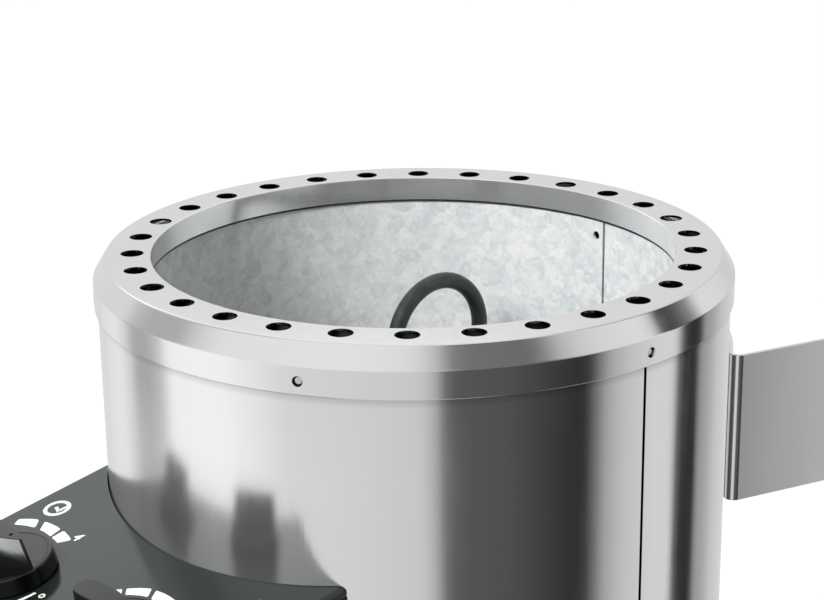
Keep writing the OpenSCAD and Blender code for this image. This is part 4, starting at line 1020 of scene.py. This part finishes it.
# Studio cards round the heater: angle in degrees and level, those below the rim and those above it
LOW_CARDS = [(-180, 0.80), (-164, 0.88), (-156, 0.74), (-150, 0.42), (-141, 0.44), (-135, 0.58), (-130, 1.0),
             (-106, 1.0), (-91, 0.85), (-83, 0.75), (-60, 0.71), (-39, 0.66), (-34.5, 0.50), (-31.5, 0.14),
             (-27, 0.10), (-12, 0.09), (4, 0.05), (12, 0.03), (17, 0.03), (21, 0.18), (25, 0.42), (33, 0.6),
             (47, 0.73), (57, 0.74), (59.5, 0.08), (63, 0.03), (72, 0.02), (75, 0.34), (82, 0.42), (92, 0.62),
             (118, 0.74)]
HIGH_CARDS = [(-180, 0.76), (-154, 0.76), (-149, 0.56), (-142, 0.46), (-128, 0.45), (-122, 0.67),
              (-112, 0.84), (-67, 0.87), (-52, 0.84), (-40, 0.77), (-33, 0.56), (-27, 0.22), (-20, 0.18),
              (1, 0.16), (6, 0.25), (12, 0.5), (18, 0.64), (26, 0.74), (42, 0.82), (46.5, 0.76), (49, 0.5),
              (50.5, 0.07), (56, 0.06), (62, 0.16), (66, 0.30), (69, 0.6), (71.5, 0.82), (85, 0.76),
              (100, 0.66), (124, 0.76), (156, 0.76)]
# Heights between which the low cards pass into the high ones
CARDS_MEET = (-0.12, 0.02)
# Softbox high at the left that the panel and the tops of the knobs reflect: heights where it
# fades in and out, the angle where it starts with the width of its soft edge, and its level
SOFTBOX = (0.58, 0.66)
SOFTBOX_END = (0.96, 0.88)
SOFTBOX_FROM = 128.0
SOFTBOX_EDGE = 6.0
SOFTBOX_LEVEL = 1.9


def turn_share(angle):
    """Place of an angle in degrees along a radial gradient"""
    return angle / 360 + 0.5


def card_tones(mat, around, cards):
    """Levels of one row of cards round the heater"""
    return tones(mat, around, [(turn_share(a), (level,) * 3) for a, level in cards])


def build_cards():
    """Wall of soft-edged light and dark cards that only reflections see"""
    steps = 180
    bm = bmesh.new()
    ring = [(RING_R * math.cos(math.tau * i / steps), RING_R * math.sin(math.tau * i / steps))
            for i in range(steps)]
    rows = [[bm.verts.new((x, y, z)) for x, y in ring] for z in (RING_LOW, RING_TOP)]
    for i in range(steps):
        j = (i + 1) % steps
        bm.faces.new((rows[0][i], rows[0][j], rows[1][j], rows[1][i]))
    mesh = bpy.data.meshes.new("cards")
    bm.to_mesh(mesh)
    bm.free()
    cards = bpy.data.objects.new("cards", mesh)
    cards.location = (AXIS.x, AXIS.y, 0)
    bpy.context.scene.collection.objects.link(cards)
    mat = material("cards", (1, 1, 1))
    here = place(mat)
    around = node(mat, "ShaderNodeTexGradient", {"Vector": here}, gradient_type="RADIAL").outputs["Fac"]
    height = node(mat, "ShaderNodeSeparateXYZ", {"Vector": here}).outputs["Z"]
    mix = node(mat, "ShaderNodeMix", {"Factor": span(mat, height, 0.0, 1.0, *CARDS_MEET)}, data_type="RGBA")
    mat.node_tree.links.new(card_tones(mat, around, LOW_CARDS), mix.inputs["A"])
    mat.node_tree.links.new(card_tones(mat, around, HIGH_CARDS), mix.inputs["B"])
    left = span(mat, around, 0.0, 1.0, turn_share(SOFTBOX_FROM), turn_share(SOFTBOX_FROM + SOFTBOX_EDGE))
    tall = node(mat, "ShaderNodeMath", {0: span(mat, height, 0.0, 1.0, *SOFTBOX),
                                        1: span(mat, height, 0.0, 1.0, *SOFTBOX_END)},
                operation="MULTIPLY").outputs["Value"]
    softbox = node(mat, "ShaderNodeMath", {0: left, 1: tall}, operation="MULTIPLY").outputs["Value"]
    glow = node(mat, "ShaderNodeEmission", {"Color": mix.outputs["Result"],
                                            "Strength": span(mat, softbox, 1.0, SOFTBOX_LEVEL)})
    surface(mat, glow.outputs["Emission"])
    mesh.materials.append(mat)
    for ray in ("camera", "diffuse", "transmission", "volume_scatter", "shadow"):
        setattr(cards, "visible_" + ray, False)


# Level of the white world for diffuse light and for reflections
WORLD_DIFFUSE = 0.22
WORLD_GLOSSY = 0.82


def build_world():
    """World that is plain white for the camera and dimmer for all other rays"""
    world = bpy.data.worlds.new("studio")
    world.use_nodes = True
    bpy.context.scene.world = world
    rays = node(world, "ShaderNodeLightPath").outputs
    dim = span(world, rays["Is Glossy Ray"], WORLD_DIFFUSE, WORLD_GLOSSY)
    level = node(world, "ShaderNodeMath", {0: rays["Is Camera Ray"], 1: dim}, operation="MAXIMUM")
    back = world.node_tree.nodes["Background"]
    back.inputs["Color"].default_value = (1, 1, 1, 1)
    world.node_tree.links.new(level.outputs["Value"], back.inputs["Strength"])


# Lamps: place, target, size and power
KEY = ((0.15, -1.95, 1.5), (0.0, -0.2, 0.0), 0.9, 70.0)
GLINT = ((-0.152, -0.996, -0.284), (-0.05, -0.44, -0.03), 0.5, 4.2)


def build_lamp(name, spot, target, size, power):
    """Round area lamp that is not seen itself"""
    lamp = bpy.data.lights.new(name, "AREA")
    lamp.shape = "DISK"
    lamp.size = size
    lamp.energy = power
    obj = bpy.data.objects.new(name, lamp)
    bpy.context.scene.collection.objects.link(obj)
    obj.location = spot
    obj.rotation_mode = "QUATERNION"
    obj.rotation_quaternion = (Vector(target) - Vector(spot)).to_track_quat("-Z", "Y")
    obj.visible_glossy = False
    obj.visible_camera = False
    return obj


def build_glint():
    """Low lamp in front of the controls that lights only the knobs and shows in their flanks"""
    lamp = build_lamp("glint", *GLINT)
    lamp.visible_glossy = True
    knobs = bpy.data.collections.new("knobs")
    for name in ("timer_grip", "thermostat_grip"):
        knobs.objects.link(bpy.data.objects[name])
    lamp.light_linking.receiver_collection = knobs


SENSOR = 36.0
LENS = 86.417
CAMERA_SPOT = (0.77238, -0.87727, 0.39334)
CAMERA_TARGET = (-0.00078, -0.21391, 0.0605)
CAMERA_ROLL = -0.742


def build_camera():
    """Camera fitted to the photo without any shift"""
    cam = bpy.data.cameras.new("camera")
    cam.sensor_width = SENSOR
    cam.lens = LENS
    obj = bpy.data.objects.new("camera", cam)
    bpy.context.scene.collection.objects.link(obj)
    spot = Vector(CAMERA_SPOT)
    ahead = (Vector(CAMERA_TARGET) - spot).normalized()
    side = ahead.cross(Vector((0, 0, 1))).normalized()
    up = side.cross(ahead)
    roll = math.radians(CAMERA_ROLL)
    side, up = (math.cos(roll) * side + math.sin(roll) * up, math.cos(roll) * up - math.sin(roll) * side)
    obj.matrix_world = Matrix.Translation(spot) @ Matrix((side, up, -ahead)).transposed().to_4x4()
    bpy.context.scene.camera = obj


build_floor()
build_cards()
build_world()
build_lamp("key", *KEY)
build_glint()
build_camera()
bpy.context.scene.view_settings.view_transform = "Standard"
